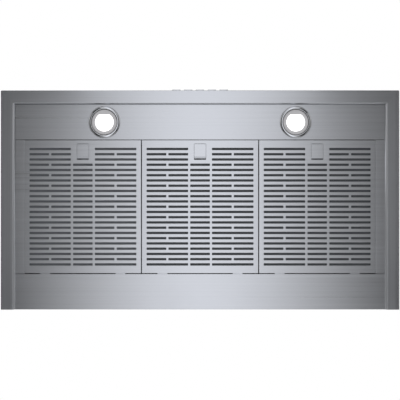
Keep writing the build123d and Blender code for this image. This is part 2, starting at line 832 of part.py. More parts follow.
with BuildPart() as switch_box:
    with BuildSketch(Plane.XZ.offset(-switch_front_y)):
        with Locations((0, control_z)):
            Rectangle(cutout_width, switch_box_height)
    extrude(amount=-switch_box_depth)
    with BuildSketch(Plane.XZ.offset(-body_rear_y - seat_gap)):
        with Locations((0, control_z)):
            Rectangle(cutout_width, switch_box_height)
            Rectangle(cutout_width - 4 * box_wall, switch_box_height, mode=Mode.SUBTRACT)
    extrude(amount=-(switch_front_y - body_rear_y))
switch_box.part.label = "switch_box"
export_step(switch_box.part, "parts/switch_box.step")

# Blower. The scroll is three quarter arcs about the corners of a small square, then straight up to the outlet.

scroll_outer_radius = scroll_radius + 2 * scroll_square
blower_y = throat_rear_y - scroll_outer_radius - scroll_square / 2
blower_z = canopy_top_z - blower_drop
throat_front_y = throat_rear_y - throat_width
throat_top_z = canopy_top_z - seat_gap


def scroll_outline(grow):
    """The scroll's air space seen along X, grown by a wall."""
    corner = scroll_square / 2
    low_y, high_y = blower_y - corner, blower_y + corner
    low_z, high_z = blower_z - corner, blower_z + corner
    radius = scroll_radius + grow
    tongue_y = throat_front_y - grow
    tongue = degrees(acos((tongue_y - low_y) / radius))
    tongue_top = low_z + radius * sin(radians(tongue))
    rear_y = throat_rear_y + grow
    with BuildSketch() as outline:
        with BuildLine():
            CenterArc((low_y, low_z), radius, tongue, 180 - tongue)
            CenterArc((high_y, low_z), radius + scroll_square, 180, 90)
            CenterArc((high_y, high_z), radius + 2 * scroll_square, 270, 90)
            Polyline(
                (rear_y, high_z),
                (rear_y, throat_top_z),
                (tongue_y, throat_top_z),
                (tongue_y, tongue_top),
            )
        make_face()
    return outline.sketch


air_space = scroll_outline(0)
scroll_shape = scroll_outline(scroll_wall)

with BuildPart() as blower_housing:
    with BuildSketch(Plane.YZ.offset(-blower_width / 2)):
        add(scroll_shape)
    extrude(amount=blower_width)
    with BuildSketch(Plane.XY.offset(throat_top_z)):
        with Locations((0, duct_y)):
            Rectangle(blower_width + 2 * throat_flange, throat_width + 2 * throat_flange)
    extrude(amount=-scroll_wall)
    with BuildSketch(Plane.YZ.offset(-blower_width / 2 + scroll_wall)):
        add(air_space)
    extrude(amount=blower_width - 2 * scroll_wall, mode=Mode.SUBTRACT)
    with BuildSketch(Plane.YZ.offset(-blower_width / 2)):
        with Locations((blower_y, blower_z)):
            Circle(inlet_radius)
    extrude(amount=blower_width, mode=Mode.SUBTRACT)
    with BuildSketch(Plane.XY.offset(throat_top_z)):
        with Locations((0, duct_y)):
            with GridLocations(2 * flange_screw_x, 2 * flange_screw_y, 2, 2):
                Circle(screw_hole_radius)
    extrude(amount=-scroll_wall, mode=Mode.SUBTRACT)
blower_housing.part.label = "blower_housing"
export_step(blower_housing.part, "parts/blower_housing.step")

wheel_axis = Axis((0, blower_y, blower_z), (1, 0, 0))
ring_inner_radius = inlet_radius - seat_gap - inlet_ring_wall

for side, sign in {"left": -1, "right": 1}.items():
    ring_face_x = sign * (blower_width / 2 + seat_gap)
    wheel_section = Plane((ring_face_x, blower_y, blower_z), x_dir=(sign, 0, 0), z_dir=(0, -sign, 0))
    with BuildPart() as inlet_ring:
        with BuildSketch(wheel_section):
            with BuildLine():
                Polyline(
                    (0, ring_inner_radius + inlet_ring_wall + inlet_ring_flange),
                    (inlet_ring_wall, ring_inner_radius + inlet_ring_wall + inlet_ring_flange),
                    (inlet_ring_wall, ring_inner_radius),
                    (-inlet_ring_lip, ring_inner_radius),
                    (-inlet_ring_lip, ring_inner_radius + inlet_ring_wall),
                    (0, ring_inner_radius + inlet_ring_wall),
                    close=True,
                )
            make_face()
        revolve(axis=wheel_axis)
    inlet_ring.part.label = f"inlet_ring_{side}"
    export_step(inlet_ring.part, f"parts/inlet_ring_{side}.step")

blade_end_x = wheel_radius * cos(radians(blade_lean)) - blade_thickness / 2
blade_end_y = wheel_radius * sin(radians(blade_lean))

with BuildSketch() as blade:
    Polygon(
        (wheel_inner_radius, 0),
        (blade_end_x, blade_end_y),
        (blade_end_x, blade_end_y + blade_thickness),
        (wheel_inner_radius, blade_thickness),
        align=None,
    )

with BuildPart() as impeller:
    with BuildSketch(Plane.YZ.offset(wheel_end_ring - wheel_width / 2)):
        with Locations((blower_y, blower_z)):
            with PolarLocations(0, blade_count):
                add(blade.sketch)
    extrude(amount=wheel_width - 2 * wheel_end_ring)
    for ring_x in (-wheel_width / 2, wheel_width / 2 - wheel_end_ring):
        with BuildSketch(Plane.YZ.offset(ring_x)):
            with Locations((blower_y, blower_z)):
                Circle(wheel_radius)
                Circle(wheel_inner_radius - wheel_end_ring, mode=Mode.SUBTRACT)
        extrude(amount=wheel_end_ring)
    with BuildSketch(Plane.YZ.offset(-wheel_disc / 2)):
        with Locations((blower_y, blower_z)):
            Circle(wheel_radius)
    extrude(amount=wheel_disc)
    with BuildSketch(Plane.YZ):
        with Locations((blower_y, blower_z)):
            Circle(hub_radius)
    extrude(amount=hub_length)
    with BuildSketch(Plane.YZ.offset(-wheel_disc)):
        with Locations((blower_y, blower_z)):
            Circle(shaft_radius + shaft_clearance)
    extrude(amount=hub_length + 2 * wheel_disc, mode=Mode.SUBTRACT)
impeller.part.label = "impeller"
export_step(impeller.part, "parts/impeller.step")

bracket_x = -blower_width / 2 - inlet_ring_wall - 2 * seat_gap - bracket_reach
motor_end_x = -wheel_disc / 2 - motor_gap
motor_back_x = bracket_x + seat_gap

with BuildPart() as motor:
    with BuildSketch(Plane.YZ.offset(motor_back_x)):
        with Locations((blower_y, blower_z)):
            Circle(motor_radius)
    extrude(amount=motor_end_x - motor_boss_length - motor_back_x)
    with BuildSketch(Plane.YZ.offset(motor_end_x - motor_boss_length)):
        with Locations((blower_y, blower_z)):
            Circle(motor_boss_radius)
    extrude(amount=motor_boss_length)
    with BuildSketch(Plane.YZ.offset(motor_back_x)):
        with Locations((blower_y, blower_z)):
            Circle(shaft_radius + shaft_clearance)
    extrude(amount=motor_end_x - motor_back_x, mode=Mode.SUBTRACT)
motor.part.label = "motor"
export_step(motor.part, "parts/motor.step")

with BuildPart() as motor_shaft:
    with BuildSketch(Plane.YZ.offset(motor_back_x + seat_gap)):
        with Locations((blower_y, blower_z)):
            Circle(shaft_radius)
    extrude(amount=hub_length + 1 - motor_back_x)
motor_shaft.part.label = "motor_shaft"
export_step(motor_shaft.part, "parts/motor_shaft.step")

with BuildPart() as motor_bracket:
    with BuildSketch(Plane.YZ.offset(bracket_x)):
        with Locations((blower_y, blower_z)):
            Circle(motor_radius)
            with PolarLocations(bracket_foot_radius / 2, 3, start_angle=90):
                Rectangle(bracket_foot_radius, bracket_arm)
    extrude(amount=-bracket_thickness)
    with BuildSketch(Plane.YZ.offset(bracket_x)):
        with Locations((blower_y, blower_z)):
            with PolarLocations(bracket_foot_radius - bracket_foot / 2, 3, start_angle=90):
                Rectangle(bracket_foot, bracket_arm)
    extrude(amount=bracket_reach)
motor_bracket.part.label = "motor_bracket"
export_step(motor_bracket.part, "parts/motor_bracket.step")

# Duct collar with two damper flaps on one pin

collar_z = top_plate_top_z + seat_gap
collar_axis = Axis((0, duct_y, 0), (0, 0, 1))
duct_inner_radius = duct_radius - duct_wall
ledge_z = collar_z + ledge_height
flap_z = ledge_z + damper_lift
pin_z = flap_z + damper_sheet / 2

with BuildPart() as duct_collar:
    with BuildSketch(Plane((0, duct_y, 0), x_dir=(1, 0, 0), z_dir=(0, -1, 0))):
        with BuildLine():
            Polyline(
                (duct_inner_radius, collar_z),
                (duct_radius + collar_flange, collar_z),
                (duct_radius + collar_flange, collar_z + duct_wall),
                (duct_radius, collar_z + duct_wall),
                (duct_radius, collar_z + duct_height),
                (duct_inner_radius, collar_z + duct_height),
                close=True,
            )
        make_face()
    revolve(axis=collar_axis)
    with BuildSketch(Plane.XY.offset(ledge_z)):
        with Locations((0, duct_y + duct_inner_radius - ledge_reach)):
            Rectangle(ledge_width, ledge_reach + duct_wall / 2, align=FLOOR)
        with Locations((0, duct_y - duct_inner_radius + ledge_reach)):
            Rectangle(ledge_width, ledge_reach + duct_wall / 2, align=BACK)
    extrude(amount=-duct_wall)
    with BuildSketch(Plane.YZ.offset(-duct_radius)):
        with Locations((duct_y, pin_z)):
            Circle(pin_radius + pin_clearance)
    extrude(amount=2 * duct_radius, mode=Mode.SUBTRACT)
    with BuildSketch(Plane.XY.offset(collar_z)):
        with Locations((0, duct_y)):
            with GridLocations(2 * flange_screw_x, 2 * flange_screw_y, 2, 2):
                Circle(screw_hole_radius)
    extrude(amount=duct_wall, mode=Mode.SUBTRACT)
duct_collar.part.label = "duct_collar"
export_step(duct_collar.part, "parts/duct_collar.step")

pin_half = duct_radius - seat_gap

with BuildPart() as damper_pin:
    with BuildSketch(Plane.YZ.offset(-pin_half)):
        with Locations((duct_y, pin_z)):
            Circle(pin_radius)
    extrude(amount=2 * pin_half)
damper_pin.part.label = "damper_pin"
export_step(damper_pin.part, "parts/damper_pin.step")

flap_radius = duct_inner_radius - damper_gap
flap_edge = knuckle_radius + knuckle_gap

for side, sign, knuckle_x in (("front", -1, knuckle_front), ("rear", 1, knuckle_rear)):
    with BuildPart() as damper:
        with BuildSketch(Plane((0, duct_y, flap_z))):
            Circle(flap_radius)
            with Locations((0, sign * flap_edge)):
                Rectangle(
                    2 * flap_radius,
                    2 * flap_radius,
                    align=(Align.CENTER, Align.MAX if sign > 0 else Align.MIN),
                    mode=Mode.SUBTRACT,
                )
            with Locations((-knuckle_x, 0), (knuckle_x, 0)):
                Rectangle(
                    knuckle_length,
                    flap_edge + knuckle_radius,
                    align=(Align.CENTER, Align.MIN if sign > 0 else Align.MAX),
                )
        extrude(amount=damper_sheet)
        for x in (-knuckle_x, knuckle_x):
            with BuildSketch(Plane.YZ.offset(x - knuckle_length / 2)):
                with Locations((duct_y, pin_z)):
                    Circle(knuckle_radius)
            extrude(amount=knuckle_length)
            with BuildSketch(Plane.YZ.offset(x - knuckle_length / 2)):
                with Locations((duct_y, pin_z)):
                    Circle(pin_radius + pin_clearance)
            extrude(amount=knuckle_length, mode=Mode.SUBTRACT)
    damper.part.label = f"damper_{side}"
    export_step(damper.part, f"parts/damper_{side}.step")

# Terminal box with its lid and cable gland, and the motor's capacitor

box_x = top_plate_width / 2 - plate_sheet - box_gap - box_width / 2
box_z = top_plate_top_z + seat_gap
lid_bottom_z = box_z + box_height + seat_gap
gland_y = box_y + box_length / 2 - gland_inset

with BuildPart() as terminal_box:
    with BuildSketch(Plane.XY.offset(box_z)):
        with Locations((box_x, box_y)):
            Rectangle(box_width, box_length)
    extrude(amount=box_height)
    with BuildSketch(Plane.XY.offset(box_z + box_wall)):
        with Locations((box_x, box_y)):
            Rectangle(box_width - 2 * box_wall, box_length - 2 * box_wall)
    extrude(amount=box_height, mode=Mode.SUBTRACT)
terminal_box.part.label = "terminal_box"
export_step(terminal_box.part, "parts/terminal_box.step")

with BuildPart() as terminal_lid:
    with BuildSketch(Plane.XY.offset(lid_bottom_z)):
        with Locations((box_x, box_y)):
            Rectangle(box_width, box_length)
    extrude(amount=box_wall)
    chamfer(terminal_lid.faces().sort_by(Axis.Z)[-1].edges(), box_wall / 2)
    with BuildSketch(Plane.XY.offset(lid_bottom_z)):
        with Locations((box_x, gland_y)):
            Circle(gland_radius + seat_gap)
    extrude(amount=box_wall, mode=Mode.SUBTRACT)
terminal_lid.part.label = "terminal_lid"
export_step(terminal_lid.part, "parts/terminal_lid.step")

gland_z = lid_bottom_z + box_wall + seat_gap

with BuildPart() as cable_gland:
    with BuildSketch(Plane((box_x, gland_y, gland_z + gland_height))):
        Circle(gland_radius)
    extrude(amount=-(gland_height + gland_nut_height + box_wall))
    with BuildSketch(Plane((box_x, gland_y, gland_z))):
        RegularPolygon(gland_nut_radius, 6)
    extrude(amount=gland_nut_height)
    with BuildSketch(Plane((box_x, gland_y, gland_z + gland_height))):
        Circle(gland_bore)
    extrude(amount=-(gland_height + gland_nut_height + box_wall), mode=Mode.SUBTRACT)
cable_gland.part.label = "cable_gland"
export_step(cable_gland.part, "parts/cable_gland.step")

with BuildPart() as capacitor:
    with BuildSketch(Plane((-box_x, capacitor_y, box_z))):
        Circle(capacitor_radius)
    extrude(amount=capacitor_height)
capacitor.part.label = "capacitor"
export_step(capacitor.part, "parts/capacitor.step")

# Screws: each head stands on its plane, and its shank goes back through it

casing_planes = []
for sign in (-1, 1):
    side_x = sign * (chimney_width / 2 + seat_gap)
    casing_planes.append(Plane((side_x, -chimney_depth / 2, screw_z), z_dir=(sign, 0, 0)))
    for end in (-1, 1):
        corner_y = duct_y + end * flange_screw_y
        casing_planes.append(Plane((sign * flange_screw_x, corner_y, collar_z + duct_wall + seat_gap)))

bracket_planes = []
for sign in (-1, 1):
    side_x = sign * (upper_width / 2 + seat_gap)
    bracket_planes.append(Plane((side_x, -bracket_screw_y, bracket_z), z_dir=(sign, 0, 0)))

for group, planes in {"casing_screws": casing_planes, "bracket_screws": bracket_planes}.items():
    with BuildPart() as screws:
        for plane in planes:
            with BuildSketch(plane):
                RegularPolygon(screw_head_radius, 6)
            extrude(amount=screw_head_height)
            with BuildSketch(plane):
                RegularPolygon(screw_radius, 6)
            extrude(amount=-screw_length)
    screws.part.label = group
    export_step(screws.part, f"parts/{group}.step")
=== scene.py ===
import json
from math import pi, radians

import bmesh
import bpy
import numpy as np
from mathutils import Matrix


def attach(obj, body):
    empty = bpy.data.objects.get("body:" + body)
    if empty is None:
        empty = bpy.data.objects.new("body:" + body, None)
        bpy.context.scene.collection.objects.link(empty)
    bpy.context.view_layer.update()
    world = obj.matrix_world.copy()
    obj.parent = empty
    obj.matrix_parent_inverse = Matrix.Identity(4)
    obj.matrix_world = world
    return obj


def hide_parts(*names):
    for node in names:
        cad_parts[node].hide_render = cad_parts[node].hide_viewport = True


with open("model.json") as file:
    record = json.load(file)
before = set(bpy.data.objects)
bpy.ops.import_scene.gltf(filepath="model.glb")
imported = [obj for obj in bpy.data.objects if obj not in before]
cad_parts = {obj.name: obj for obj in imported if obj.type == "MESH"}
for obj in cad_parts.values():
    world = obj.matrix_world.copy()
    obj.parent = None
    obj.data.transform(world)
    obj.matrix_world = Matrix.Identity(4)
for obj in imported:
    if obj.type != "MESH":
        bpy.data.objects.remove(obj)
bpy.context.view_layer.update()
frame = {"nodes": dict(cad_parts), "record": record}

nodes = frame["nodes"]
mm = 0.001

# Sizes shared with the part's source

under_z = -150.0
face_z = -145.2
hood_depth = 495.0
filter_width = 263.0
filter_pitch = 265.0
filter_front_y = -382.5
filter_rear_y = -82.0
filter_height = 14.0
filter_sheet = 0.8
column_pitch = 49.3
slot_bridge = 5.3
slot_width = 5.1
slot_corner = 1.1
slot_rows = 23
row_pitch = 11.86
first_row_y = -362.7
latch_rows = 3
window_y = -374.8
window_width = 27.0
window_length = 36.7
lamp_x = 216.3
lamp_y = -423.35
sides = {"left": -1, "centre": 0, "right": 1}
pair = {"left": -1, "right": 1}


# Meshes

def spots(*coordinates):
    """Points from their coordinates, each stretched to the shape of the others."""
    return np.stack(np.broadcast_arrays(*coordinates), axis=-1)


def grid_faces(rows, cols, wrap):
    """Quads of a grid of points in rows: each point, its right neighbour and the two above. wrap joins the
    last column to the first."""
    index = np.arange(rows * cols).reshape(rows, cols)
    right = np.roll(index, -1, axis=1)
    quads = np.stack([index[:-1], right[:-1], right[1:], index[1:]], axis=-1)
    return (quads if wrap else quads[:, :-1]).reshape(-1, 4)


def patch(points, wrap=False, left_out=None):
    """A grid of points made a list, with the faces between them. left_out names faces by row and column."""
    faces = grid_faces(*points.shape[:2], wrap)
    keep = np.ones((points.shape[0] - 1, points.shape[1] - (0 if wrap else 1)), bool)
    if left_out is not None:
        keep[left_out] = False
    return points.reshape(-1, 3), faces[keep.reshape(-1)]


def joined(patches):
    """One list of points and one of faces from several patches, each patch's indices moved on by the points
    before it."""
    points, faces, start = [], [], 0
    for patch_points, patch_faces in patches:
        points.append(patch_points)
        faces.append(patch_faces + start)
        start += len(patch_points)
    return np.concatenate(points), np.concatenate(faces)


def made_piece(name, patches, body, replaced, slot, materials=None, merge=0.01, smooth=35):
    """A new piece from patches in millimetres: points nearer than merge made one, faces turned outwards."""
    points, faces = joined(patches)
    mesh = bpy.data.meshes.new(name)
    mesh.from_pydata((points * mm).tolist(), [], faces.tolist())
    bm = bmesh.new()
    bm.from_mesh(mesh)
    bmesh.ops.remove_doubles(bm, verts=bm.verts, dist=merge * mm)
    bmesh.ops.recalc_face_normals(bm, faces=bm.faces)
    bm.to_mesh(mesh)
    bm.free()
    return placed(name, mesh, body, replaced, slot, materials, smooth)


def linked(name, data):
    """A new object of this data in the scene."""
    made = bpy.data.objects.new(name, data)
    bpy.context.scene.collection.objects.link(made)
    return made


def placed(name, mesh, body, replaced, slot, materials, smooth):
    """The mesh as an object at the origin on its body, with the nodes it stands for hidden and with its
    materials, which are the slot's own finish unless others are given."""
    piece = linked(name, mesh)
    mesh.materials.clear()
    for material in materials or [finish_of[slot]]:
        mesh.materials.append(material)
    if smooth:
        mesh.shade_smooth()
        mesh.set_sharp_from_angle(angle=radians(smooth))
    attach(piece, body)
    if replaced:
        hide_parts(*replaced)
    return piece


def eased_copy(node, body, slot, width, materials=None):
    """The node's own surface, its triangles joined into flat faces and its corners rounded by this width."""
    mesh = nodes[node].data.copy()
    bm = bmesh.new()
    bm.from_mesh(mesh)
    bmesh.ops.remove_doubles(bm, verts=bm.verts, dist=0.002 * mm)
    bmesh.ops.dissolve_limit(bm, angle_limit=radians(0.5), verts=bm.verts, edges=bm.edges)
    bm.to_mesh(mesh)
    bm.free()
    piece = placed(node + "_eased", mesh, body, [node], slot, materials, 35)
    bevel = piece.modifiers.new("eased edges", "BEVEL")
    bevel.width = width * mm
    bevel.segments = 2
    bevel.limit_method = "ANGLE"
    bevel.angle_limit = radians(30)
    even_shading(piece)


def even_shading(piece):
    """Corner normals lean to the larger faces, so sheet beside a bend or a rolled edge is shaded flat."""
    lean = piece.modifiers.new("even shading", "WEIGHTED_NORMAL")
    lean.mode = "FACE_AREA"
    lean.weight = 100
    lean.keep_sharp = True


def facing_down(piece):
    """Turns an open sheet over if its faces look up, so that its outer side is the lower one."""
    if np.array([face.normal.z * face.area for face in piece.data.polygons]).sum() > 0:
        piece.data.flip_normals()


def walled(piece, thickness, even=True):
    """Gives an open sheet its thickness, inwards from its outer side."""
    wall = piece.modifiers.new("sheet thickness", "SOLIDIFY")
    wall.thickness = thickness * mm
    wall.offset = -1.0
    wall.use_even_offset = even


def turned(profile, count, centre):
    """A profile of (radius, height) points carried round an upright axis in count steps."""
    turn = np.arange(count) * 2 * pi / count
    radius, height = profile[:, 0, None], profile[:, 1, None]
    x, y = centre[0] + radius * np.cos(turn), centre[1] + radius * np.sin(turn)
    return patch(spots(x, y, centre[2] + height), wrap=True)


def arc(centre, radius, start, end, steps):
    """Points of a circle's arc from one angle to another, in degrees."""
    turn = np.radians(np.linspace(start, end, steps))
    return spots(centre[0] + radius * np.cos(turn), centre[1] + radius * np.sin(turn))


def rolled(radius, steps):
    """A quarter circle that leaves a flat sheet and turns upright: points of (reach, height)."""
    return arc((radius, radius), radius, 270, 180, steps)


# Materials

def fed(socket, value):
    """Gives a socket a plain value, or links another node's output to it."""
    if isinstance(value, bpy.types.NodeSocket):
        socket.id_data.links.new(value, socket)
    else:
        socket.default_value = value


def put(node, **values):
    """Feeds a node's sockets by name. An underscore stands for a space."""
    for label, value in values.items():
        fed(node.inputs[label.replace("_", " ")], value)


def node_in(tree, kind, **values):
    """A new shader node with these on its sockets."""
    node = tree.nodes.new("ShaderNode" + kind)
    put(node, **values)
    return node


def shader_group(name, inputs, outputs):
    """An empty node group that takes a vector and these numbers and gives other numbers."""
    group = bpy.data.node_groups.new(name, "ShaderNodeTree")
    group.interface.new_socket(name="Vector", in_out="INPUT", socket_type="NodeSocketVector")
    for label, value in inputs.items():
        socket = group.interface.new_socket(name=label, in_out="INPUT", socket_type="NodeSocketFloat")
        socket.default_value = value
    for label in outputs:
        group.interface.new_socket(name=label, in_out="OUTPUT", socket_type="NodeSocketFloat")
    return group, group.nodes.new("NodeGroupInput").outputs, group.nodes.new("NodeGroupOutput")


def noise_in(tree, vector, scale, detail, roughness=0.55):
    noise = node_in(tree, "TexNoise", Vector=vector, Scale=scale, Detail=detail, Roughness=roughness)
    return noise.outputs["Fac"]


def mapped(tree, value, low, high, to_low=0.0, to_high=1.0):
    """The value carried from the range low to high over to the range to_low to to_high."""
    span = node_in(tree, "MapRange", Value=value, From_Min=low, From_Max=high, To_Min=to_low, To_Max=to_high)
    return span.outputs["Result"]


def maths(tree, operation, *values):
    node = tree.nodes.new("ShaderNodeMath")
    node.operation = operation
    for socket, value in zip(node.inputs, values):
        fed(socket, value)
    return node.outputs[0]


def vector_maths(tree, operation, vector, **values):
    node = tree.nodes.new("ShaderNodeVectorMath")
    node.operation = operation
    fed(node.inputs[0], vector)
    put(node, **values)
    return node


def blended(tree, factor, first, second):
    """A number between the first and the second, by the factor."""
    return node_in(tree, "Mix", Factor=factor, A=first, B=second).outputs["Result"]


def colour_mix(tree, factor, first, second):
    """A colour between the first and the second, by the factor."""
    mix = tree.nodes.new("ShaderNodeMix")
    mix.data_type = "RGBA"
    put(mix, Factor=factor, A=(*first, 1.0), B=(*second, 1.0))
    return mix.outputs["Result"]


def bumped(tree, height, strength, distance):
    """The surface's direction over a small relief, its depth in millimetres."""
    return node_in(tree, "Bump", Strength=strength, Distance=distance * mm, Height=height).outputs["Normal"]


def brush_group():
    """Brush lines: noise drawn out along the brushing, fine streaks plus broad ones."""
    group, entry, result = shader_group("brush_lines", {"Broad": 0.55}, ["Lines", "Fine"])
    fine = noise_in(group, entry["Vector"], 1.0, 4.0, 0.7)
    shrink = vector_maths(group, "SCALE", entry["Vector"], Scale=0.11)
    broad = noise_in(group, shrink.outputs[0], 1.0, 2.0, 0.6)
    put(result, Lines=blended(group, entry["Broad"], fine, broad), Fine=fine)
    return group


def handling_group():
    """Handling: soft smears and cloudy patches, 0 clean to 1 marked."""
    group, entry, result = shader_group("handling", {"Amount": 0.5}, ["Marks"])
    patches = mapped(group, noise_in(group, entry["Vector"], 5.0, 4.0, 0.6), 0.42, 0.7)
    smears = mapped(group, noise_in(group, entry["Vector"], 23.0, 3.0, 0.5), 0.3, 0.7, 0.2)
    both = maths(group, "MULTIPLY", patches, smears)
    put(result, Marks=maths(group, "MULTIPLY", both, entry["Amount"]))
    return group


def spangle_group():
    """Zinc spangle: cells of different brightness with faint borders."""
    group, entry, result = shader_group("spangle", {"Scale": 90.0}, ["Flakes", "Borders"])
    flakes = node_in(group, "TexVoronoi", Vector=entry["Vector"], Scale=entry["Scale"])
    borders = node_in(group, "TexVoronoi", Vector=entry["Vector"], Scale=entry["Scale"])
    borders.feature = "DISTANCE_TO_EDGE"
    split = node_in(group, "SeparateColor", Color=flakes.outputs["Color"])
    cloud = maths(group, "MULTIPLY", noise_in(group, entry["Vector"], 14.0, 3.0), 0.4)
    brightness = maths(group, "MULTIPLY_ADD", split.outputs["Red"], 0.6, cloud)
    put(result, Flakes=brightness, Borders=mapped(group, borders.outputs["Distance"], 0.0, 0.06, 1.0, 0.0))
    return group


def grain_group():
    """Grain: fine even noise for moulded, cast and painted skins, with a slower waviness."""
    group, entry, result = shader_group("skin_grain", {"Scale": 1500.0}, ["Grain", "Cloud"])
    grain = node_in(group, "TexNoise", Vector=entry["Vector"], Scale=entry["Scale"], Detail=2.0)
    put(result, Grain=grain.outputs["Fac"], Cloud=noise_in(group, entry["Vector"], 30.0, 4.0))
    return group


brush_lines = brush_group()
handling = handling_group()
spangle = spangle_group()
skin_grain = grain_group()


def started(name, base, rough, metal):
    """A material with its shader's plain values set and the Object coordinates ready."""
    material = bpy.data.materials.new(name)
    material.use_nodes = True
    tree = material.node_tree
    shader = next(n for n in tree.nodes if n.type == "BSDF_PRINCIPLED")
    put(shader, Base_Color=(*base, 1.0), Roughness=rough, Metallic=metal)
    return material, tree, shader, node_in(tree, "TexCoord").outputs["Object"]


def placed_group(tree, group, vector, **values):
    """The outputs of a node group used at this vector."""
    node = tree.nodes.new("ShaderNodeGroup")
    node.node_tree = group
    put(node, Vector=vector, **values)
    return node.outputs


def tinted(tree, factor, base, dark, light):
    """The base colour made darker and lighter by these factors, between which it runs with the factor."""
    ends = [[min(1.0, channel * amount) for channel in base] for amount in (dark, light)]
    return colour_mix(tree, factor, *ends)


def brushed(name, along, base, rough=0.3, grain_along=None):
    """Brushed metal: streaks along one axis change the colour, the roughness and the surface a little. The
    tangent follows the grain's axis, the brushing's own unless another is given."""
    spread = 0.04
    material, tree, shader, place = started(name, base, rough, 1.0)
    stretch = [6.0 if axis == along else 1500.0 for axis in "XYZ"]
    stretched = node_in(tree, "Mapping", Vector=place, Scale=stretch).outputs["Vector"]
    lines = placed_group(tree, brush_lines, stretched)
    touched = placed_group(tree, handling, place, Amount=0.2)
    streaked = mapped(tree, lines["Lines"], 0.3, 0.7, rough - spread, rough + spread)
    tangent = {"X": (0, 1, 0.6), "Y": (1, 0, 0.6), "Z": (1, 1, 0)}[grain_along or along]
    across = node_in(tree, "CombineXYZ", X=tangent[0], Y=tangent[1], Z=tangent[2])
    put(
        shader,
        Base_Color=tinted(tree, mapped(tree, lines["Lines"], 0.3, 0.7), base, 0.925, 1.075),
        Roughness=maths(tree, "MULTIPLY_ADD", touched["Marks"], 0.12, streaked),
        Normal=bumped(tree, lines["Fine"], 0.1, 0.03),
        Anisotropic=0.55,
        Tangent=across.outputs["Vector"],
    )
    return material


def zinced(name, base, rough, scale):
    """Galvanised sheet: spangle in colour and roughness."""
    material, tree, shader, place = started(name, base, rough, 1.0)
    cells = placed_group(tree, spangle, place, Scale=scale)
    put(
        shader,
        Base_Color=tinted(tree, cells["Flakes"], base, 0.72, 1.2),
        Roughness=mapped(tree, cells["Flakes"], 0.0, 1.0, rough + 0.12, rough - 0.08),
        Normal=bumped(tree, cells["Borders"], 0.15, 0.02),
    )
    return material


def skinned(name, base, rough, metal=0.0, scale=1500.0, bump=0.2, depth=0.03, shade=0.08, coat=0.0):
    """Moulded, cast, painted or polished skin: fine grain, cloudy colour and roughness."""
    material, tree, shader, place = started(name, base, rough, metal)
    skin = placed_group(tree, skin_grain, place, Scale=scale)
    put(
        shader,
        Base_Color=tinted(tree, skin["Cloud"], base, 1 - shade, 1 + shade),
        Roughness=mapped(tree, skin["Cloud"], 0.3, 0.7, rough * 0.88, rough * 1.12),
        Normal=bumped(tree, skin["Grain"], bump, depth),
        Coat_Weight=coat,
    )
    return material


def lit(name, colour, strength, edge):
    """A glowing diffuser, a little dimmer in fine cloudy patches."""
    material, tree, shader, place = started(name, colour, 0.4, 0.0)
    skin = placed_group(tree, skin_grain, place, Scale=900.0)
    put(
        shader,
        Emission_Color=tinted(tree, skin["Cloud"], colour, edge, 1.0),
        Emission_Strength=strength,
        Normal=bumped(tree, skin["Grain"], 0.15, 0.02),
    )
    return material


steel_tone = (0.645, 0.655, 0.675)
steel_x = brushed("brushed_steel_crosswise", "X", steel_tone)
steel_y = brushed("brushed_steel_lengthwise", "Y", steel_tone)
steel_z = brushed("brushed_steel_upright", "Z", steel_tone)
steel_flange = brushed("brushed_steel_flange", "Y", steel_tone, grain_along="X")
galvanised = zinced("galvanised_sheet", (0.52, 0.54, 0.56), 0.38, 110.0)
plain_steel = skinned("turned_steel", (0.5, 0.5, 0.5), 0.3, 1.0, 2500.0, 0.15, 0.02)
gasket_rubber = skinned("gasket_rubber", (0.09, 0.09, 0.092), 0.6)
print_white = skinned("printed_white", (0.75, 0.75, 0.74), 0.5)
spring_steel = skinned("blued_spring_steel", (0.05, 0.052, 0.058), 0.4, 0.8, 2000.0, 0.15, 0.02)
guide_zinc = zinced("dull_guide_zinc", (0.36, 0.37, 0.38), 0.5, 160.0)
motor_black = skinned("motor_enamel", (0.035, 0.036, 0.04), 0.35, 0.0, 700.0, 0.3, 0.04)
cast_alloy = skinned("cast_alloy", (0.55, 0.56, 0.57), 0.48, 1.0, 1100.0, 0.35, 0.06)
# The filter mesh's near-black colour is painted shade: it stands for the shade deep inside the mesh packs
mesh_alloy_painted_shade = skinned("filter_mesh_alloy_painted_shade", (0.088, 0.094, 0.103), 0.8, 0.0, 800.0, 0.1, 0.05, 0.03)
# A lighter copy of the dark mesh colour for the left pack: painted light, as if more light reached into it
left_mesh_painted_light = skinned("filter_mesh_painted_light_left", (0.14, 0.149, 0.163), 0.8, 0.0, 800.0, 0.1, 0.05, 0.03)
frame_alloy = brushed("filter_frame_alloy", "X", (0.55, 0.56, 0.58), 0.42)
black_plastic = skinned("black_plastic", (0.03, 0.03, 0.032), 0.45)
grey_plastic = skinned("grey_plastic", (0.28, 0.29, 0.3), 0.5)
white_plastic = skinned("white_plastic", (0.72, 0.72, 0.7), 0.4)
fascia_gloss = skinned("fascia_gloss", (0.02, 0.02, 0.022), 0.12, 0.0, 300.0, 0.05, 0.02, 0.08, 0.6)
button_chrome = skinned("button_satin_chrome", (0.6, 0.61, 0.63), 0.22, 1.0, 2500.0, 0.1, 0.01)
bezel_chrome = skinned("bezel_polish", (0.68, 0.69, 0.71), 0.07, 1.0, 260.0, 0.04, 0.02, 0.03)
ring_paint = skinned("lamp_ring_paint", (0.49, 0.485, 0.5), 0.45)
lens_lit = lit("lens_lit", (1.0, 0.99, 0.975), 1.1, 0.93)

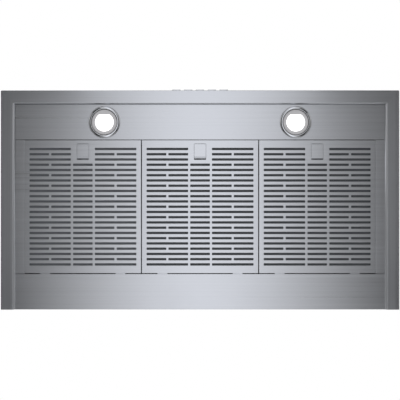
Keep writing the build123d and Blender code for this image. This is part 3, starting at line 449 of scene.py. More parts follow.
finish_of = {
    "brushed_steel": steel_x,
    "galvanised_steel": galvanised,
    "plain_steel": plain_steel,
    "motor_paint": motor_black,
    "cast_aluminium": cast_alloy,
    "filter_aluminium": mesh_alloy_painted_shade,
    "black_plastic": black_plastic,
    "grey_plastic": grey_plastic,
    "white_plastic": white_plastic,
    "fascia_gloss": fascia_gloss,
    "button_chrome": button_chrome,
    "bezel_chrome": bezel_chrome,
    "lamp_ring_paint": ring_paint,
    "lamp_lens_lit": lens_lit,
}
for row in frame["record"]["subparts"]:
    finished = nodes[row["node"]].data.materials
    finished.clear()
    finished.append(finish_of[row["material_slot"]])
for side in sides:
    nodes[f"filter_back_{side}"].data.materials[0] = frame_alloy
    nodes[f"latch_guide_{side}"].data.materials[0] = guide_zinc


# Filter faces

tray_border, tongue_slot_half, tongue_slot_low, tongue_slot_high = 4.5, 9.4, 3.2, 4.8
window_radius = 1.5
slot_roll, window_roll, border_bend = 0.5, 0.25, 0.25


def opening_rims(places, outline, radius, rim, sheet_z):
    """Openings in a flat sheet. Each outline point is its corner plus its outward direction times the
    radius, and the rim's profile of (reach, height) is carried round that outline. The widest ring joins the
    partner points on the flat sheet."""
    corner, outward, partner = outline
    rings = corner + outward * (radius + rim[:, 0])[:, None, None]
    flat = np.concatenate([partner[None], rings])
    height = np.concatenate([[0.0], rim[:, 1]])
    count = len(corner)
    points = np.zeros((len(places), len(height), count, 3))
    points[..., :2] = places[:, None, None, :] + flat
    points[..., 2] = sheet_z + height[:, None]
    quads = grid_faces(len(height), count, True)
    step = len(height) * count
    faces = quads[None] + (np.arange(len(places)) * step)[:, None, None]
    return points.reshape(-1, 3), faces.reshape(-1, 4)


def slot_outline(half_slot, half_cell, middle=False):
    """A slot with round corners: twelve directions round it, each from the corner it belongs to, with its
    cell's corner as its partner. Both halves are (across, up). With middle there is one more point at the
    middle of each long side."""
    turn = (np.arange(12) + 0.5) * pi / 6
    if middle:
        turn = np.sort(np.concatenate([turn, [pi / 2, 3 * pi / 2]]))
    outward = spots(np.cos(turn), np.sin(turn))
    towards = np.where(np.abs(outward) > 1e-6, np.sign(outward), 0.0)
    return towards * half_slot, outward, towards * half_cell


def filter_face_patches(centre_x):
    """The tray's flat sheet with its slots and its window, then the sheet's bend and its four walls."""
    grid_front = filter_front_y + tray_border
    row_y = first_row_y + np.arange(slot_rows) * row_pitch
    grid_rear = row_y[-1] + row_pitch / 2
    cells_front = first_row_y - row_pitch / 2
    rows, cols = np.meshgrid(np.arange(slot_rows), np.arange(-2, 3), indexing="ij")
    middle, behind_latch = cols == 0, rows >= latch_rows
    short = np.where(rows % 2 == 1, ~middle | behind_latch, middle & behind_latch)
    short_places = spots(centre_x + cols[short] * column_pitch, row_y[rows[short]])
    long_x = [centre_x + sign * 1.5 * column_pitch for sign in (-1, 1)]
    long_places = np.concatenate([spots(x, row_y[::2]) for x in long_x])
    half_rise = slot_width / 2 - slot_corner
    half_short = (column_pitch - slot_bridge) / 2 - slot_corner
    half_long = column_pitch - slot_bridge / 2 - slot_corner
    short_slot = slot_outline([half_short, half_rise], [column_pitch / 2, row_pitch / 2])
    long_slot = slot_outline([half_long, half_rise], [column_pitch, row_pitch / 2], middle=True)
    patches = [
        opening_rims(short_places, short_slot, slot_corner, rolled(slot_roll, 4), face_z),
        opening_rims(long_places, long_slot, slot_corner, rolled(slot_roll, 4), face_z),
    ]

    # Window: round corners, with extra points where the neighbouring cells' corners lie
    centre = np.array([centre_x, window_y + window_length / 2])
    half = np.array([window_width, window_length]) / 2 - window_radius
    cell_rear = cells_front + latch_rows * row_pitch
    row_lines = cells_front + np.arange(latch_rows) * row_pitch - centre[1]
    turn = np.radians([15, 45, 75])
    quarter = spots(np.cos(turn), np.sin(turn))
    parts = []
    for x, y in ((1, -1), (1, 1), (-1, 1), (-1, -1)):
        ends = quarter * (x, y)
        if x * y < 0:
            ends = ends[::-1]
        far_y = (cell_rear if y > 0 else grid_front) - centre[1]
        corner_part = (np.tile(half * (x, y), (3, 1)), ends, np.tile([x * column_pitch / 2, far_y], (3, 1)))
        if (x, y) == (1, 1) or (x, y) == (-1, -1):
            order = row_lines if x > 0 else row_lines[::-1]
            side = (
                spots(half[0] * x, np.clip(order, -half[1], half[1])),
                np.tile([float(x), 0.0], (3, 1)),
                spots(x * column_pitch / 2, order),
            )
            parts.append(side)
        if (x, y) == (1, -1):
            slot_x = [-tongue_slot_half, tongue_slot_half]
            front = (
                spots(slot_x, -half[1]),
                np.tile([0.0, -1.0], (2, 1)),
                spots(slot_x, grid_front - centre[1]),
            )
            parts.append(front)
        parts.append(corner_part)
    window = [np.concatenate(column) for column in zip(*parts)]
    patches.append(opening_rims(centre[None], window, window_radius, rolled(window_roll, 4), face_z))

    # Plain strips in front of the first row
    lines = np.array([-2.5, -1.5, -0.5, 0.5, 1.5, 2.5]) * column_pitch + centre_x
    for x in (lines[:3], lines[3:]):
        patches.append(patch(spots(x, [[grid_front], [cells_front]], face_z)))

    # The border, the bend and the walls: the grid's outline carried outwards and then up
    slot_x = [centre_x - tongue_slot_half, centre_x + tongue_slot_half]
    front_x = np.concatenate([lines[:3], slot_x, lines[3:]])
    side_y = np.concatenate([[grid_front], cells_front + np.arange(slot_rows + 1) * row_pitch])
    beside = len(side_y) - 2
    x = np.concatenate([front_x, np.full(beside, lines[-1]), lines[::-1], np.full(beside, lines[0])])
    y = np.concatenate(
        [np.full(len(front_x), grid_front), side_y[1:-1], np.full(len(lines), grid_rear), side_y[-2:0:-1]]
    )
    wall = np.array([[0.0, tongue_slot_low], [0.0, tongue_slot_high], [0.0, filter_height]])
    levels = np.concatenate([rolled(border_bend, 5), wall])
    inset, height = levels[:, :1], levels[:, 1:]
    half_tray, tiny = filter_width / 2, 1e-6
    out_x = np.where(x < lines[0] + tiny, centre_x - half_tray + inset, x)
    out_x = np.where(x > lines[-1] - tiny, centre_x + half_tray - inset, out_x)
    out_y = np.where(y < grid_front + tiny, filter_front_y + inset, y)
    out_y = np.where(y > grid_rear - tiny, filter_rear_y - inset, out_y)
    border = np.concatenate([spots(x, y, face_z)[None], spots(out_x, out_y, face_z + height)])
    # The face left out is the tongue's slot, between the wall's two lower heights at the middle of the front
    patches.append(patch(border, wrap=True, left_out=(6, 3)))
    return patches


for side, place in sides.items():
    body = f"filter_{side}"
    patches = filter_face_patches(place * filter_pitch)
    face = made_piece(f"filter_tray_{side}", patches, body, [f"filter_face_{side}"], "brushed_steel")
    walled(face, filter_sheet)
    even_shading(face)


# Mesh packs: a flat layer whose points stand alternately high and low, like expanded metal, thickened to the
# whole pack and cut away round the latch. Their dark colour is painted shade of the deep mesh, and the left
# pack's lighter colour is painted light

mesh_half, mesh_front, mesh_rear, mesh_level, mesh_wave = 130.2, -380.7, -83.3, -140.9, 0.45
mesh_pack_height, mesh_columns, mesh_rows = 7.5, 105, 120
notch_half, notch_rear = 20.3, -331.5
for side, place in sides.items():
    x = np.linspace(-mesh_half, mesh_half, mesh_columns)
    y = np.linspace(mesh_front, mesh_rear, mesh_rows)[:, None]
    wave = np.where((np.arange(mesh_rows)[:, None] + np.arange(mesh_columns)) % 2 == 0, mesh_wave, -mesh_wave)
    points, faces = patch(spots(place * filter_pitch + x, y, mesh_level + wave))
    notch = (np.abs(x[:-1] + x[1:]) / 2 < notch_half) & ((y[:-1] + y[1:]) / 2 < notch_rear)
    # The left pack gets the lighter copy of the mesh colour, which is painted light; the others get painted
    # shade
    pad = made_piece(
        f"mesh_pack_{side}",
        [(points, faces[~notch.reshape(-1)])],
        f"filter_{side}",
        [f"filter_mesh_{side}"],
        "filter_aluminium",
        [left_mesh_painted_light if side == "left" else mesh_alloy_painted_shade],
        smooth=0,
    )
    facing_down(pad)
    walled(pad, mesh_pack_height, even=False)


# Side fillers: a channel's profile carried from front to rear, with a round bend along its inner edge

panel_half, filler_sheet, filler_width, filler_bend, filler_edge = 417.7, 1.0, 21.1, 1.1, 0.15
filler_front, filler_rear, filler_height = -383.0, -81.0, 14.0
for side, sign in pair.items():
    outer, inner = panel_half, panel_half - filler_width
    section = np.concatenate(
        [
            [[outer, filler_height]],
            arc((outer - filler_edge, filler_edge), filler_edge, 0, -90, 4),
            arc((inner + filler_bend, filler_bend), filler_bend, 270, 180, 6),
            [[inner, filler_height]],
        ]
    )
    along = np.array([[filler_front], [filler_rear]])
    sheet = patch(spots(sign * section[:, 0], along, face_z + section[:, 1]))
    strip = made_piece(f"filler_strip_{side}", [sheet], "hood", [f"side_filler_{side}"], "brushed_steel")
    facing_down(strip)
    walled(strip, filler_sheet)
    even_shading(strip)


def flat_tab(x0, y, half, low, thickness):
    """A flat tab closed all round: a rectangle at each y from its half width and the thickness, with the
    first and last ones filled."""
    corner = np.array([[-1, 0], [1, 0], [1, thickness], [-1, thickness]])
    y, half = np.array(y)[:, None], np.array(half)[:, None]
    points, faces = patch(spots(x0 + half * corner[:, 0], y, low + corner[:, 1]), wrap=True)
    first, last = np.arange(4), np.arange(4) + len(points) - 4
    return points, np.concatenate([faces, [first, last]])


# Latch handles: a plate whose rear edge is folded up, its front edge turned up into the tongue that reaches
# over the panel

handle_half, handle_front, handle_rear, handle_lip, handle_sheet = 13.3, -374.3, -341.0, 5.0, 1.0
tongue_z, tongue_sheet, tongue_half, tongue_tip = -141.8, 1.2, 9.0, -383.0
for side, place in sides.items():
    x0 = place * filter_pitch
    plate = np.array(
        [
            [handle_front + 0.6, 2.4],
            [handle_front, 1.8],
            [handle_front, 0.7],
            [handle_front + 0.2, 0.2],
            [handle_front + 0.7, 0.0],
            [handle_rear - handle_lip - 0.5, 0.0],
            [handle_rear - handle_lip, 0.1],
            [handle_rear - handle_lip + 0.4, 0.3],
            [handle_rear - 0.5, 2.25],
            [handle_rear - 0.1, 2.6],
        ]
    )
    across = np.array([-1.0, -0.992, -0.978, 0.978, 0.992, 1.0])
    edge_lift = np.array([0.3, 0.08, 0.0, 0.0, 0.08, 0.3])
    y, rise = plate[:, :1], plate[:, 1:]
    points = spots(x0 + handle_half * across, y, face_z + rise + edge_lift)
    handle = made_piece(f"latch_plate_{side}", [patch(points)], f"latch_{side}", None, "brushed_steel")
    facing_down(handle)
    walled(handle, handle_sheet, even=False)
    even_shading(handle)

    # Tongue: round corners at its tip, its root inside the plate's front edge
    y = [tongue_tip, tongue_tip + 0.4, tongue_tip + 1.2, tongue_tip + 9.0, handle_front + 1.2]
    half = [tongue_half - 1.4, tongue_half - 0.4, tongue_half, tongue_half, tongue_half]
    made_piece(
        f"latch_tongue_{side}",
        [flat_tab(x0, y, half, tongue_z, tongue_sheet)],
        f"latch_{side}",
        [f"latch_handle_{side}"],
        "brushed_steel",
        [spring_steel],
        smooth=30,
    )


# Canopy: one profile carried round the left side, the front and the right side

hood_half = 450.0
rim_top_z = -90.0
canopy_top_z = 100.0
pyramid_height = canopy_top_z - rim_top_z
side_run, front_run = 297.0, 212.0
canopy_sheet, rim_corner, top_flange = 1.0, 2.5, 15.0
cutout_half, cutout_low, cutout_high = 72.0, -128.0, -112.0


def bend_between(before, corner, after):
    """A soft bend: the curve from before to after that the corner pulls, a blend of the three weighted
    (1-s)^2, 2s(1-s) and s^2."""
    s = np.linspace(0, 1, 5)[:, None]
    return (1 - s) ** 2 * np.array(before) + 2 * s * (1 - s) * np.array(corner) + s**2 * np.array(after)


def level(inset, height, corner=rim_corner):
    """A row of the profile that lies as far in at the sides as at the front."""
    return [inset, inset, height, corner]


def slope(rise):
    """The row of the profile on the pyramid's slope, this far above the rim."""
    side, front = side_run * rise / pyramid_height, front_run * rise / pyramid_height
    return [side, front, rim_top_z + rise, rim_corner]


def canopy_levels():
    """Rows of (inset at the sides, inset at the front, height, corner radius): lip, bevel, flange, rim,
    slope, top flange."""
    lip = [
        [32.1, 32.1, 12.8],
        [32.1, 32.1, 5.2],
        [32.05, 32.0, 4.95],
        [31.95, 31.85, 4.71],
        [30.5, 31.6, 4.8],
        [30.4, 31.05, 3.1],
        [28.0, 28.95, 0.4],
        [27.8, 28.75, 0.1],
        [27.3, 28.3, 0.0],
    ]
    top_bend_end = [side_run + 2, front_run + 2, canopy_top_z, 0.5]
    parts = [
        [[side_inset, front_inset, under_z + rise, 0.0] for side_inset, front_inset, rise in lip],
        bend_between(level(2.0, under_z, 0.5), level(0.0, under_z), level(0.0, under_z + 2.0)),
        [level(0.0, cutout_low), level(0.0, cutout_high)],
        bend_between(level(0.0, rim_top_z - 2.2), level(0.0, rim_top_z), slope(1.6)),
        bend_between(slope(pyramid_height - 1.6), slope(pyramid_height), top_bend_end),
        [[side_run + top_flange, front_run + top_flange, canopy_top_z, 0.0]],
    ]
    return np.concatenate([np.array(part, float) for part in parts])


levels = canopy_levels()
side_in, front_in, height, round_by = (levels[:, i, None] for i in range(4))
quarter = np.radians(np.linspace(0, 90, 5))
left_x = side_in + round_by * (1 - np.cos(quarter)) - hood_half
turn_y = front_in + round_by * (1 - np.sin(quarter)) - hood_depth
at_wall = np.zeros_like(side_in)
middle = np.concatenate([at_wall - cutout_half, at_wall + cutout_half], axis=1)
flat_front = np.concatenate([front_in - hood_depth] * 2, axis=1)
x = np.concatenate([side_in - hood_half, left_x, middle, -left_x[:, ::-1], hood_half - side_in], axis=1)
y = np.concatenate([at_wall, turn_y, flat_front, turn_y[:, ::-1], at_wall], axis=1)
# The face left out is the opening behind the control fascia
cut_row = int(np.argmin(np.abs(levels[:, 2] - cutout_low)))
canopy = made_piece(
    "canopy",
    [patch(spots(x, y, height), left_out=(cut_row, 6))],
    "hood",
    ["canopy_shell"],
    "brushed_steel",
    [steel_x, steel_y, steel_flange],
)

# Grain from front to rear on the side walls and on the side flanges and bevels, crosswise on the rest
out_x = np.abs([face.center.x for face in canopy.data.polygons])
centre_z = np.array([face.center.z for face in canopy.data.polygons])
lean_x = np.abs([face.normal.x for face in canopy.data.polygons])
upright = (lean_x > 0.3) & (out_x > 140 * mm) & (centre_z > (under_z + 0.5) * mm)
side_wall = upright & ((out_x > (hood_half - 0.5) * mm) | (centre_z > (rim_top_z - 2) * mm))
side_flange = (centre_z < (face_z + 1.2) * mm) & (out_x > (panel_half + 0.3) * mm) & (lean_x < 0.9)
grain = np.where(side_flange, 2, np.where(side_wall, 1, 0))
canopy.data.polygons.foreach_set("material_index", grain)
walled(canopy, canopy_sheet)
even_shading(canopy)


# Chimney covers: a folded outline carried upwards, with vent slots in the upper cover's sides

chimney_sheet, chimney_fold, chimney_corner, rear_points = 0.8, 15.0, 2.0, 6
vent_margin, vent_roll = 8.0, 0.8


def folded_outline(half, rear, front):
    """The cover seen from above, from one rear fold round the front to the other, every corner an arc."""
    turn = np.radians(np.linspace(0, 90, 5))
    cos, sin = chimney_corner * (1 - np.cos(turn)), chimney_corner * (1 - np.sin(turn))
    x = np.concatenate([[-half + chimney_fold], -half + sin, -half + cos])
    y = np.concatenate([[rear], rear - cos, front + sin])
    return np.concatenate([x, -x[::-1]]), np.concatenate([y, y[::-1]])


def folded_cover(name, node, body, half, rear, front, low, high, vents=None):
    """The outline carried from low to high. Vents are (first height, pitch, count, middle, length, width),
    and the side sheets are left open between the vent rows for the vents' own cells."""
    x, y = folded_outline(half, rear, front)
    z = np.array([low, high])
    patches, left_out = [], None
    if vents:
        first, pitch, count, vent_y, length, width = vents
        half_cell = length / 2 + vent_margin
        edge = [vent_y + half_cell, vent_y - half_cell]
        z = np.concatenate([[low], first + (np.arange(count + 1) - 0.5) * pitch, [high]])
        x = np.insert(x, [rear_points] * 2 + [-rear_points] * 2, [-half, -half, half, half])
        y = np.insert(y, [rear_points] * 2 + [-rear_points] * 2, edge + edge[::-1])
        left_out = (slice(1, count + 1), [rear_points, len(x) - 2 - rear_points])
        places = np.array([[vent_y, first + row * pitch] for row in range(count)])
        vent = slot_outline([length / 2 - width / 2, 0], [half_cell, pitch / 2])
        cells, faces = opening_rims(places, vent, width / 2, rolled(vent_roll, 4), 0.0)
        along, up, depth = cells.T
        patches = [(spots(sign * (half - depth), along, up), faces) for sign in (-1, 1)]
    patches.append(patch(spots(x, y, z[:, None]), left_out=left_out))
    cover = made_piece(name, patches, body, [node], "brushed_steel", [steel_z])
    walled(cover, chimney_sheet)
    even_shading(cover)


upper_half, upper_rear, upper_front = 148.6, -1.4, -278.6
vents = (526.0, 16.0, 5, upper_front / 2, 60.0, 5.0)
folded_cover("lower_cover", "lower_chimney", "hood", 150.0, 0.0, -280.0, canopy_top_z, 500.0)
folded_cover(
    "upper_cover", "upper_chimney", "upper_chimney", upper_half, upper_rear, upper_front, 250.0, 650.0, vents
)


# Lamps

bezel_outer, bezel_inner, bezel_depth, bezel_rise, bezel_sleeve = 35.85, 28.4, 4.1, 2.8, 12.0
crest, groove, groove_floor, lip_rise, sleeve_outer = 30.5, 29.7, -0.4, 1.8, 30.3
bead_radius, bead_half, bead_rise, bead_root = 28.9, 0.8, 1.2, -0.5
ring_radius, ring_step, ring_thickness = 28.15, 1.2, 2.0
lens_radius, lens_chord, lens_thickness = 20.9, 17.2, 3.0
lens_rim, lens_bulge, lens_gap = 25.5, 0.25, 0.2

# Bezel: a short upright edge, an arc that rises to the crest, a soft inner lip, the groove and the sleeve
quarter = np.radians(np.linspace(0, 90, 17))
lip_turn = quarter[2::2]
half_turn = np.arctan(bezel_rise / (bezel_outer - crest))
lean = np.linspace(2 * half_turn, 0, 17)
outside_radius = crest + (bezel_outer - crest) * np.sin(lean) / np.sin(2 * half_turn)
outside_height = bezel_rise * (1 - np.cos(lean)) / (1 - np.cos(2 * half_turn)) - bezel_depth
trim = np.concatenate(
    [
        spots(outside_radius, outside_height),
        spots(crest - (crest - groove) * np.sin(lip_turn), lip_rise * (1 - np.cos(lip_turn)) - bezel_depth),
        [[groove, groove_floor], [bezel_inner, groove_floor], [bezel_inner, bezel_sleeve]],
        [[sleeve_outer, bezel_sleeve], [sleeve_outer, 0.0], [bezel_outer, 0.0]],
    ]
)

# Gasket: a soft dark bead in the groove
bead = spots(bead_radius + bead_half * np.cos(quarter), bead_root - bead_rise * np.sin(quarter))
bead = np.concatenate([[[groove, bead_root]], bead, [[bezel_inner, bead_root]]])

# Ring: for each direction the opening's edge is the nearer of a circle and the straight chord at the front
chord_turn = np.arccos(lens_chord / lens_radius)
chord_ends = [3 * pi / 2 - chord_turn, 3 * pi / 2 + chord_turn]
turn = np.sort(np.concatenate([np.arange(96) * 2 * pi / 96, chord_ends]))
edge = np.minimum(lens_radius, lens_chord / np.maximum(-np.sin(turn), 1e-6))
reach = np.array([0.0, 0.0, 0.12, 0.4, 0.75, 1.0, 1.0, 0.0])[:, None]
below_step = np.array([0.0, 1.5, 1.85, ring_thickness, ring_thickness, 1.7, 0.0, 0.0])[:, None]
ring_reach = edge + (ring_radius - edge) * reach

# Lens: a shallow dome, the height growing with the square of the radius
r = np.linspace(0.0, 1.0, 9)
dome = spots(lens_rim * r, lens_bulge * r**2)
lens = np.concatenate([dome, [[lens_rim, lens_thickness], [0.0, lens_thickness]]])

for side, sign in pair.items():
    x0 = sign * lamp_x
    bezel = turned(trim, 96, (x0, lamp_y, face_z))
    gasket = turned(bead, 64, (x0, lamp_y, face_z))
    x, y = x0 + ring_reach * np.cos(turn), lamp_y + ring_reach * np.sin(turn)
    ring = patch(spots(x, y, face_z + (ring_step - below_step)), wrap=True)
    diffuser = turned(lens, 64, (x0, lamp_y, face_z + ring_step + lens_gap))
    made_piece(f"lamp_trim_{side}", [bezel], "hood", [f"lamp_bezel_{side}"], "bezel_chrome")
    made_piece(f"lamp_gasket_{side}", [gasket], "hood", None, "black_plastic", [gasket_rubber])
    made_piece(f"lamp_reflector_{side}", [ring], "hood", [f"lamp_ring_{side}"], "lamp_ring_paint")
    made_piece(f"lamp_diffuser_{side}", [diffuser], "hood", [f"lamp_lens_{side}"], "lamp_lens_lit")


# Filter hooks: two flat tabs at the rear of each tray with round corners, resting on the rear panel

hook_offset, hook_half, hook_tip, hook_z, hook_sheet = 85.0, 11.0, -74.0, -143.9, 0.8
hook_y = [filter_rear_y - 0.8, hook_tip - 2.0, hook_tip - 0.9, hook_tip - 0.3, hook_tip]
hook_halves = [hook_half, hook_half, hook_half - 0.3, hook_half - 0.9, hook_half - 2.0]
for side, place in sides.items():
    tabs = [
        flat_tab(place * filter_pitch + offset, hook_y, hook_halves, hook_z, hook_sheet)
        for offset in (-hook_offset, hook_offset)
    ]
    made_piece(f"filter_hooks_{side}", tabs, f"filter_{side}", None, "brushed_steel", smooth=30)


# Rear hem: the rear panel's edge rolled over towards the wall, one rounded section carried across

section = np.array(
    [[-1.4, 1.2], [-1.4, 0.0], [-0.3, 0.0], [-0.1, 0.05], [-0.02, 0.2], [-0.02, 1.0], [-0.2, 1.2]]
)
across = np.array([-panel_half, -panel_half, panel_half, panel_half])[:, None]
shrink = np.array([0.0, 1.0, 1.0, 0.0])[:, None]
middle = section.mean(axis=0)
y, z = (middle[i] + shrink * (section[:, i] - middle[i]) for i in (0, 1))
made_piece("rear_hem", [patch(spots(across, y, face_z + z), wrap=True)], "hood", None, "brushed_steel")


# Rounded blocks: the plates at the rim's open ends, the push buttons and the printed marks

def rounded_ring(half_across, half_up, radius):
    """Points round a rectangle whose corners are quarter circles: each corner's centre plus the radius along
    six directions."""
    steps = 6
    turn = (np.arange(4 * steps) // steps) * (pi / 2) + np.tile(np.linspace(0, pi / 2, steps), 4)
    corner = np.repeat(np.array([[1, 1], [-1, 1], [-1, -1], [1, -1]]), steps, axis=0)
    return corner * [half_across - radius, half_up - radius] + radius * spots(np.cos(turn), np.sin(turn))


def rounded_block(across, up, levels):
    """Rounded rectangles stacked along the depth. Each level is (depth, half across, half up, corner
    radius), and the first and last shrink to their middle point."""
    rings = []
    for depth, *sizes in [(levels[0][0], 0, 0, 0), *levels, (levels[-1][0], 0, 0, 0)]:
        ring = rounded_ring(*sizes)
        rings.append(spots(across + ring[:, 0], depth, up + ring[:, 1]))
    return patch(np.stack(rings), wrap=True)


rim_end_x, rim_end_z = 436.4, -143.1
rim_end_levels = [
    (-1.1, 12.0, 5.5, 0.8),
    (-0.9, 12.3, 5.8, 1.0),
    (-0.2, 12.3, 5.8, 1.0),
    (0.0, 12.0, 5.5, 0.8),
]
for side, sign in pair.items():
    block = rounded_block(sign * rim_end_x, rim_end_z, rim_end_levels)
    made_piece(f"rim_end_{side}", [block], "hood", None, "galvanised_steel")


# Controls: a fascia with rolled edges, five dished push buttons and small printed marks above them

control_z, mark_z = -120.0, -112.1
fascia_front, button_front, button_rear = -497.0, -499.5, -488.0
button_pitch = 27.0
button_names = ["off", "low", "medium", "high", "light"]
button_levels = [
    (button_rear, 9.7, 4.7, 1.2),
    (button_front + 1.3, 9.7, 4.7, 1.2),
    (button_front + 0.7, 9.62, 4.62, 1.15),
    (button_front + 0.3, 9.4, 4.4, 1.1),
    (button_front + 0.08, 9.05, 4.05, 0.95),
    (button_front, 8.6, 3.6, 0.9),
    (button_front + 0.05, 8.0, 3.1, 0.8),
    (button_front + 0.22, 6.6, 2.4, 0.7),
    (button_front + 0.38, 4.6, 1.6, 0.5),
    (button_front + 0.45, 2.4, 0.8, 0.3),
]
for place, name in enumerate(button_names):
    body = f"button_{name}"
    block = rounded_block((place - 2) * button_pitch, control_z, button_levels)
    made_piece(f"push_button_{name}", [block], body, [f"button_{name}"], "button_chrome", smooth=50)

# Marks: a ring for off, one to three bars for the speeds, and for the light a dot with eight short rays
print_front, print_rear = fascia_front - 0.04, fascia_front + 0.2
bar_levels = [(depth, 0.85, 0.95, 0.4) for depth in (print_front, print_rear)]
ray_levels = [(depth, 0.28, 0.13, 0.1) for depth in (print_front, print_rear)]
bar_pitch, ray_distance = 2.6, 1.05
marks = []
for place, name in enumerate(button_names):
    x0 = (place - 2) * button_pitch
    if name in ("low", "medium", "high"):
        count = button_names.index(name)
        for bar in range(count):
            marks.append(rounded_block(x0 + (bar - (count - 1) / 2) * bar_pitch, mark_z, bar_levels))
    else:
        inner, outer = (0.75, 1.15) if name == "off" else (0.0, 0.6)
        loop = [[inner, print_rear], [inner, print_front], [outer, print_front], [outer, print_rear]]
        points, faces = turned(np.array(loop), 24, (x0, mark_z, 0.0))
        marks.append((points[:, [0, 2, 1]], faces))
        if name == "light":
            for turn in np.arange(8) * pi / 4:
                points, faces = rounded_block(0, 0, ray_levels)
                out, depth, beside = (points + [ray_distance, 0, 0]).T
                x = x0 + out * np.cos(turn) - beside * np.sin(turn)
                z = mark_z + out * np.sin(turn) + beside * np.cos(turn)
                marks.append((spots(x, depth, z), faces))
made_piece("fascia_marks", marks, "hood", None, "white_plastic", [print_white], merge=0.002, smooth=0)


# Parts whose own surfaces only need joined flat faces and rounded edges: (rounding in millimetres, nodes)

slot_of = {row["node"]: row["material_slot"] for row in frame["record"]["subparts"]}
for width, names in (
    (0.12, "lamp_panel rear_panel"),
    (0.5, "control_fascia terminal_lid terminal_box led_driver switch_box"),
    (0.3, "back_plate top_plate front_rail ceiling_bracket blower_housing motor_bracket duct_collar motor"),
    (0.25, "capacitor cable_gland casing_screws bracket_screws lamp_housing_left lamp_housing_right"),
    (0.2, "inlet_ring_left inlet_ring_right"),
):
    for name in names.split():
        eased_copy(name, "hood", slot_of[name], width)
for side in sides:
    eased_copy(f"filter_back_{side}", f"filter_{side}", "brushed_steel", 0.3, [frame_alloy])
    eased_copy(f"latch_guide_{side}", f"filter_{side}", "brushed_steel", 0.2, [guide_zinc])


# Floor, light and camera: everything from here on is in metres

floor_z, low_card_z, high_card_z = -2.5, -2.42, 2.2
white_light = (1, 1, 1)


def flat_sheet(name, corners, paint):
    """One flat face through four corners."""
    mesh = bpy.data.meshes.new(name)
    mesh.from_pydata(corners, [], [(0, 1, 2, 3)])
    mesh.materials.append(paint)
    return linked(name, mesh)


def level_square(half, z):
    """The corners of a level square round the studio's middle."""
    return [(-half, -half, z), (half, -half, z), (half, half, z), (-half, half, z)]


def card_at(name, corners, paint):
    """A card that only polished and brushed surfaces see, as a mirrored bright or dark field."""
    card = flat_sheet(name, corners, paint)
    card.visible_camera = card.visible_diffuse = card.visible_shadow = card.visible_transmission = False


def glowing(name):
    """A card's paint, which gives light and reflects none, with its place whole and as X, Y and Z."""
    paint, tree, shader, place = started(name, (0, 0, 0), 1.0, 0.0)
    put(shader, Specular_IOR_Level=0, Emission_Color=(*white_light, 1))
    return paint, tree, shader, place, node_in(tree, "SeparateXYZ", Vector=place).outputs


def hump(tree, value, centre, spread):
    """A bell curve: 1 at the centre, 0.61 one spread away, near 0 three spreads away."""
    ratio = maths(tree, "DIVIDE", maths(tree, "SUBTRACT", value, centre), spread)
    return maths(tree, "POWER", 2.718, maths(tree, "MULTIPLY", maths(tree, "MULTIPLY", ratio, ratio), -0.5))


def distance_out(tree, place):
    """How far a place is from the studio's middle."""
    return vector_maths(tree, "LENGTH", place).outputs["Value"]


# The floor is pale near the hood and runs out to white, so that it meets the white background softly
floor_grey = (0.86, 0.86, 0.86)
floor_paint, tree, shader, place = started("floor_paint", floor_grey, 0.8, 0.0)
white = mapped(tree, distance_out(tree, place), 4.0, 14.0)
put(shader, Specular_IOR_Level=0, Emission_Color=(*white_light, 1), Emission_Strength=white)
put(shader, Base_Color=colour_mix(tree, white, floor_grey, (0, 0, 0)))
floor = flat_sheet("floor", level_square(90, floor_z), floor_paint)

# A long soft box near the floor lights the underside. Mirroring surfaces see the low card in its place
box_width, box_length, box_brightness = 1.2, 4.6, 0.8
strip_data = bpy.data.lights.new("strip_box", "AREA")
strip_data.shape = "RECTANGLE"
strip_data.size, strip_data.size_y = box_width, box_length
strip_data.energy = pi * box_width * box_length * box_brightness
strip = linked("strip_box", strip_data)
strip.location = (0, -hood_depth / 2 * mm, -2.44)
strip.rotation_euler = (pi, 0, 0)
strip.visible_camera = strip.visible_glossy = False

# The low card: a cool bright band from front to rear that fades to dark on both sides and widens away from
# the hood, a dim field at each side, and an even far field that is brighter in front than behind
paint, tree, shader, place, axes = glowing("low_card_paint")
across = maths(tree, "ABSOLUTE", axes["X"])
along = maths(tree, "ABSOLUTE", maths(tree, "ADD", axes["Y"], 0.35))
widening = maths(tree, "MAXIMUM", maths(tree, "SUBTRACT", along, 2.0), 0.0)
band = hump(tree, across, 0.0, maths(tree, "MULTIPLY_ADD", widening, 0.6, 0.4))
wing = mapped(tree, maths(tree, "MULTIPLY_ADD", along, -1.2, across), 0.8, 1.5, 0.0, 0.02)
near = maths(tree, "MULTIPLY_ADD", band, 1.3, wing)
far = mapped(tree, distance_out(tree, place), 2.7, 5.0)
field = mapped(tree, maths(tree, "MULTIPLY_ADD", axes["X"], -0.35, axes["Y"]), -5.0, 5.0, 0.8, 0.22)
beside = mapped(tree, maths(tree, "MULTIPLY_ADD", along, -1.0, across), 0.0, 3.0, 1.0, 0.7)
put(
    shader,
    Emission_Strength=blended(tree, far, near, maths(tree, "MULTIPLY", field, beside)),
    Emission_Color=colour_mix(tree, band, white_light, (0.935, 0.955, 1.015)),
)
card_at("low_card", level_square(7, low_card_z), paint)

# The high card: a soft glow above and in front of the hood's left, falling off towards the rear and right
paint, tree, shader, place, axes = glowing("high_card_paint")
glow = maths(tree, "MULTIPLY", hump(tree, axes["X"], -0.9, 1.2), hump(tree, axes["Y"], -0.7, 1.3))
put(shader, Emission_Strength=maths(tree, "MULTIPLY_ADD", glow, 0.75, 0.4))
card_at("high_card", level_square(5, high_card_z), paint)

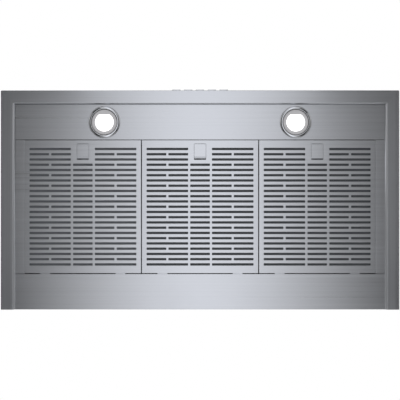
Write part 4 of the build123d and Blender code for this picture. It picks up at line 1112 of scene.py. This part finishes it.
# Far wall cards and near ones above the rim: upright soft bands of light on a dimmer ground. Each runs along
# its axis, from low to high, as far to both sides as it stands away from the middle
far_span, near_span = (low_card_z, 3.6), (0.02, 1.5)
for name, axis, stands, (low, high), centre, spread, ground, peak in (
    ("front_card", "X", -7, far_span, -1.3, 1.1, 0.4, 0.5),
    ("rear_card", "X", 7, far_span, 1.8, 1.6, 0.25, 0.5),
    ("near_front_card", "X", -1.6, near_span, -0.5, 0.5, 0.3, 0.85),
    ("near_rear_card", "X", 1.6, near_span, 0.5, 0.5, 0.3, 0.6),
    ("left_card", "Y", -7, far_span, -2.4, 1.4, 0.25, 0.45),
    ("right_card", "Y", 7, far_span, -2.4, 1.4, 0.25, 0.45),
    ("near_left_card", "Y", -1.6, near_span, -0.7, 0.5, 0.3, 0.75),
    ("near_right_card", "Y", 1.6, near_span, -0.7, 0.5, 0.3, 0.75),
):
    paint, tree, shader, place, axes = glowing(name + "_paint")
    band = hump(tree, axes[axis], centre, spread)
    put(shader, Emission_Strength=maths(tree, "MULTIPLY_ADD", band, peak, ground))
    half = abs(stands)
    corners = [(-half, low), (half, low), (half, high), (-half, high)]
    if axis == "X":
        card_at(name, [(run, stands, z) for run, z in corners], paint)
    else:
        card_at(name, [(stands, run, z) for run, z in corners], paint)

# Small dark flags below the four corners, which draw the dark spots in the lamps' polished trims
flag_paint, tree, shader, place, axes = glowing("dark_flag_paint")
put(shader, Emission_Strength=0.01)
for name, inner, outer, low, high in (
    ("front", (0.08, -0.196), (0.344, -0.279), -0.8, -0.25),
    ("rear", (0.24, 0.5), (0.52, 0.49), -1.15, -0.43),
):
    for side, sign in pair.items():
        near, far = (
            (sign * (lamp_x * mm + across), lamp_y * mm + along) for across, along in (inner, outer)
        )
        corners = [(*far, low), (*near, low), (*near, high), (*far, high)]
        card_at(f"dark_flag_{name}_{side}", corners, flag_paint)

# The background is white to the camera and in mirrors, and a little dimmer as light
world = bpy.data.worlds.new("studio")
world.use_nodes = True
bpy.context.scene.world = world
tree = world.node_tree
background = next(n for n in tree.nodes if n.type == "BACKGROUND")
path = tree.nodes.new("ShaderNodeLightPath").outputs
mirrored = maths(tree, "MAXIMUM", path["Is Glossy Ray"], path["Is Transmission Ray"])
seen = maths(tree, "MAXIMUM", path["Is Camera Ray"], mirrored)
put(background, Color=(*white_light, 1), Strength=mapped(tree, seen, 0.0, 1.0, 0.85))

camera_distance = 2.2
camera_data = bpy.data.cameras.new("camera")
camera_data.lens = 87.79
camera_data.sensor_width = 36
camera = linked("camera", camera_data)
camera.location = (-0.0001, -0.2474, under_z * mm - camera_distance)
camera.rotation_euler = (pi, 0, 0)
bpy.context.scene.camera = camera
bpy.context.scene.view_settings.view_transform = "Standard"

bpy.context.view_layer.update()
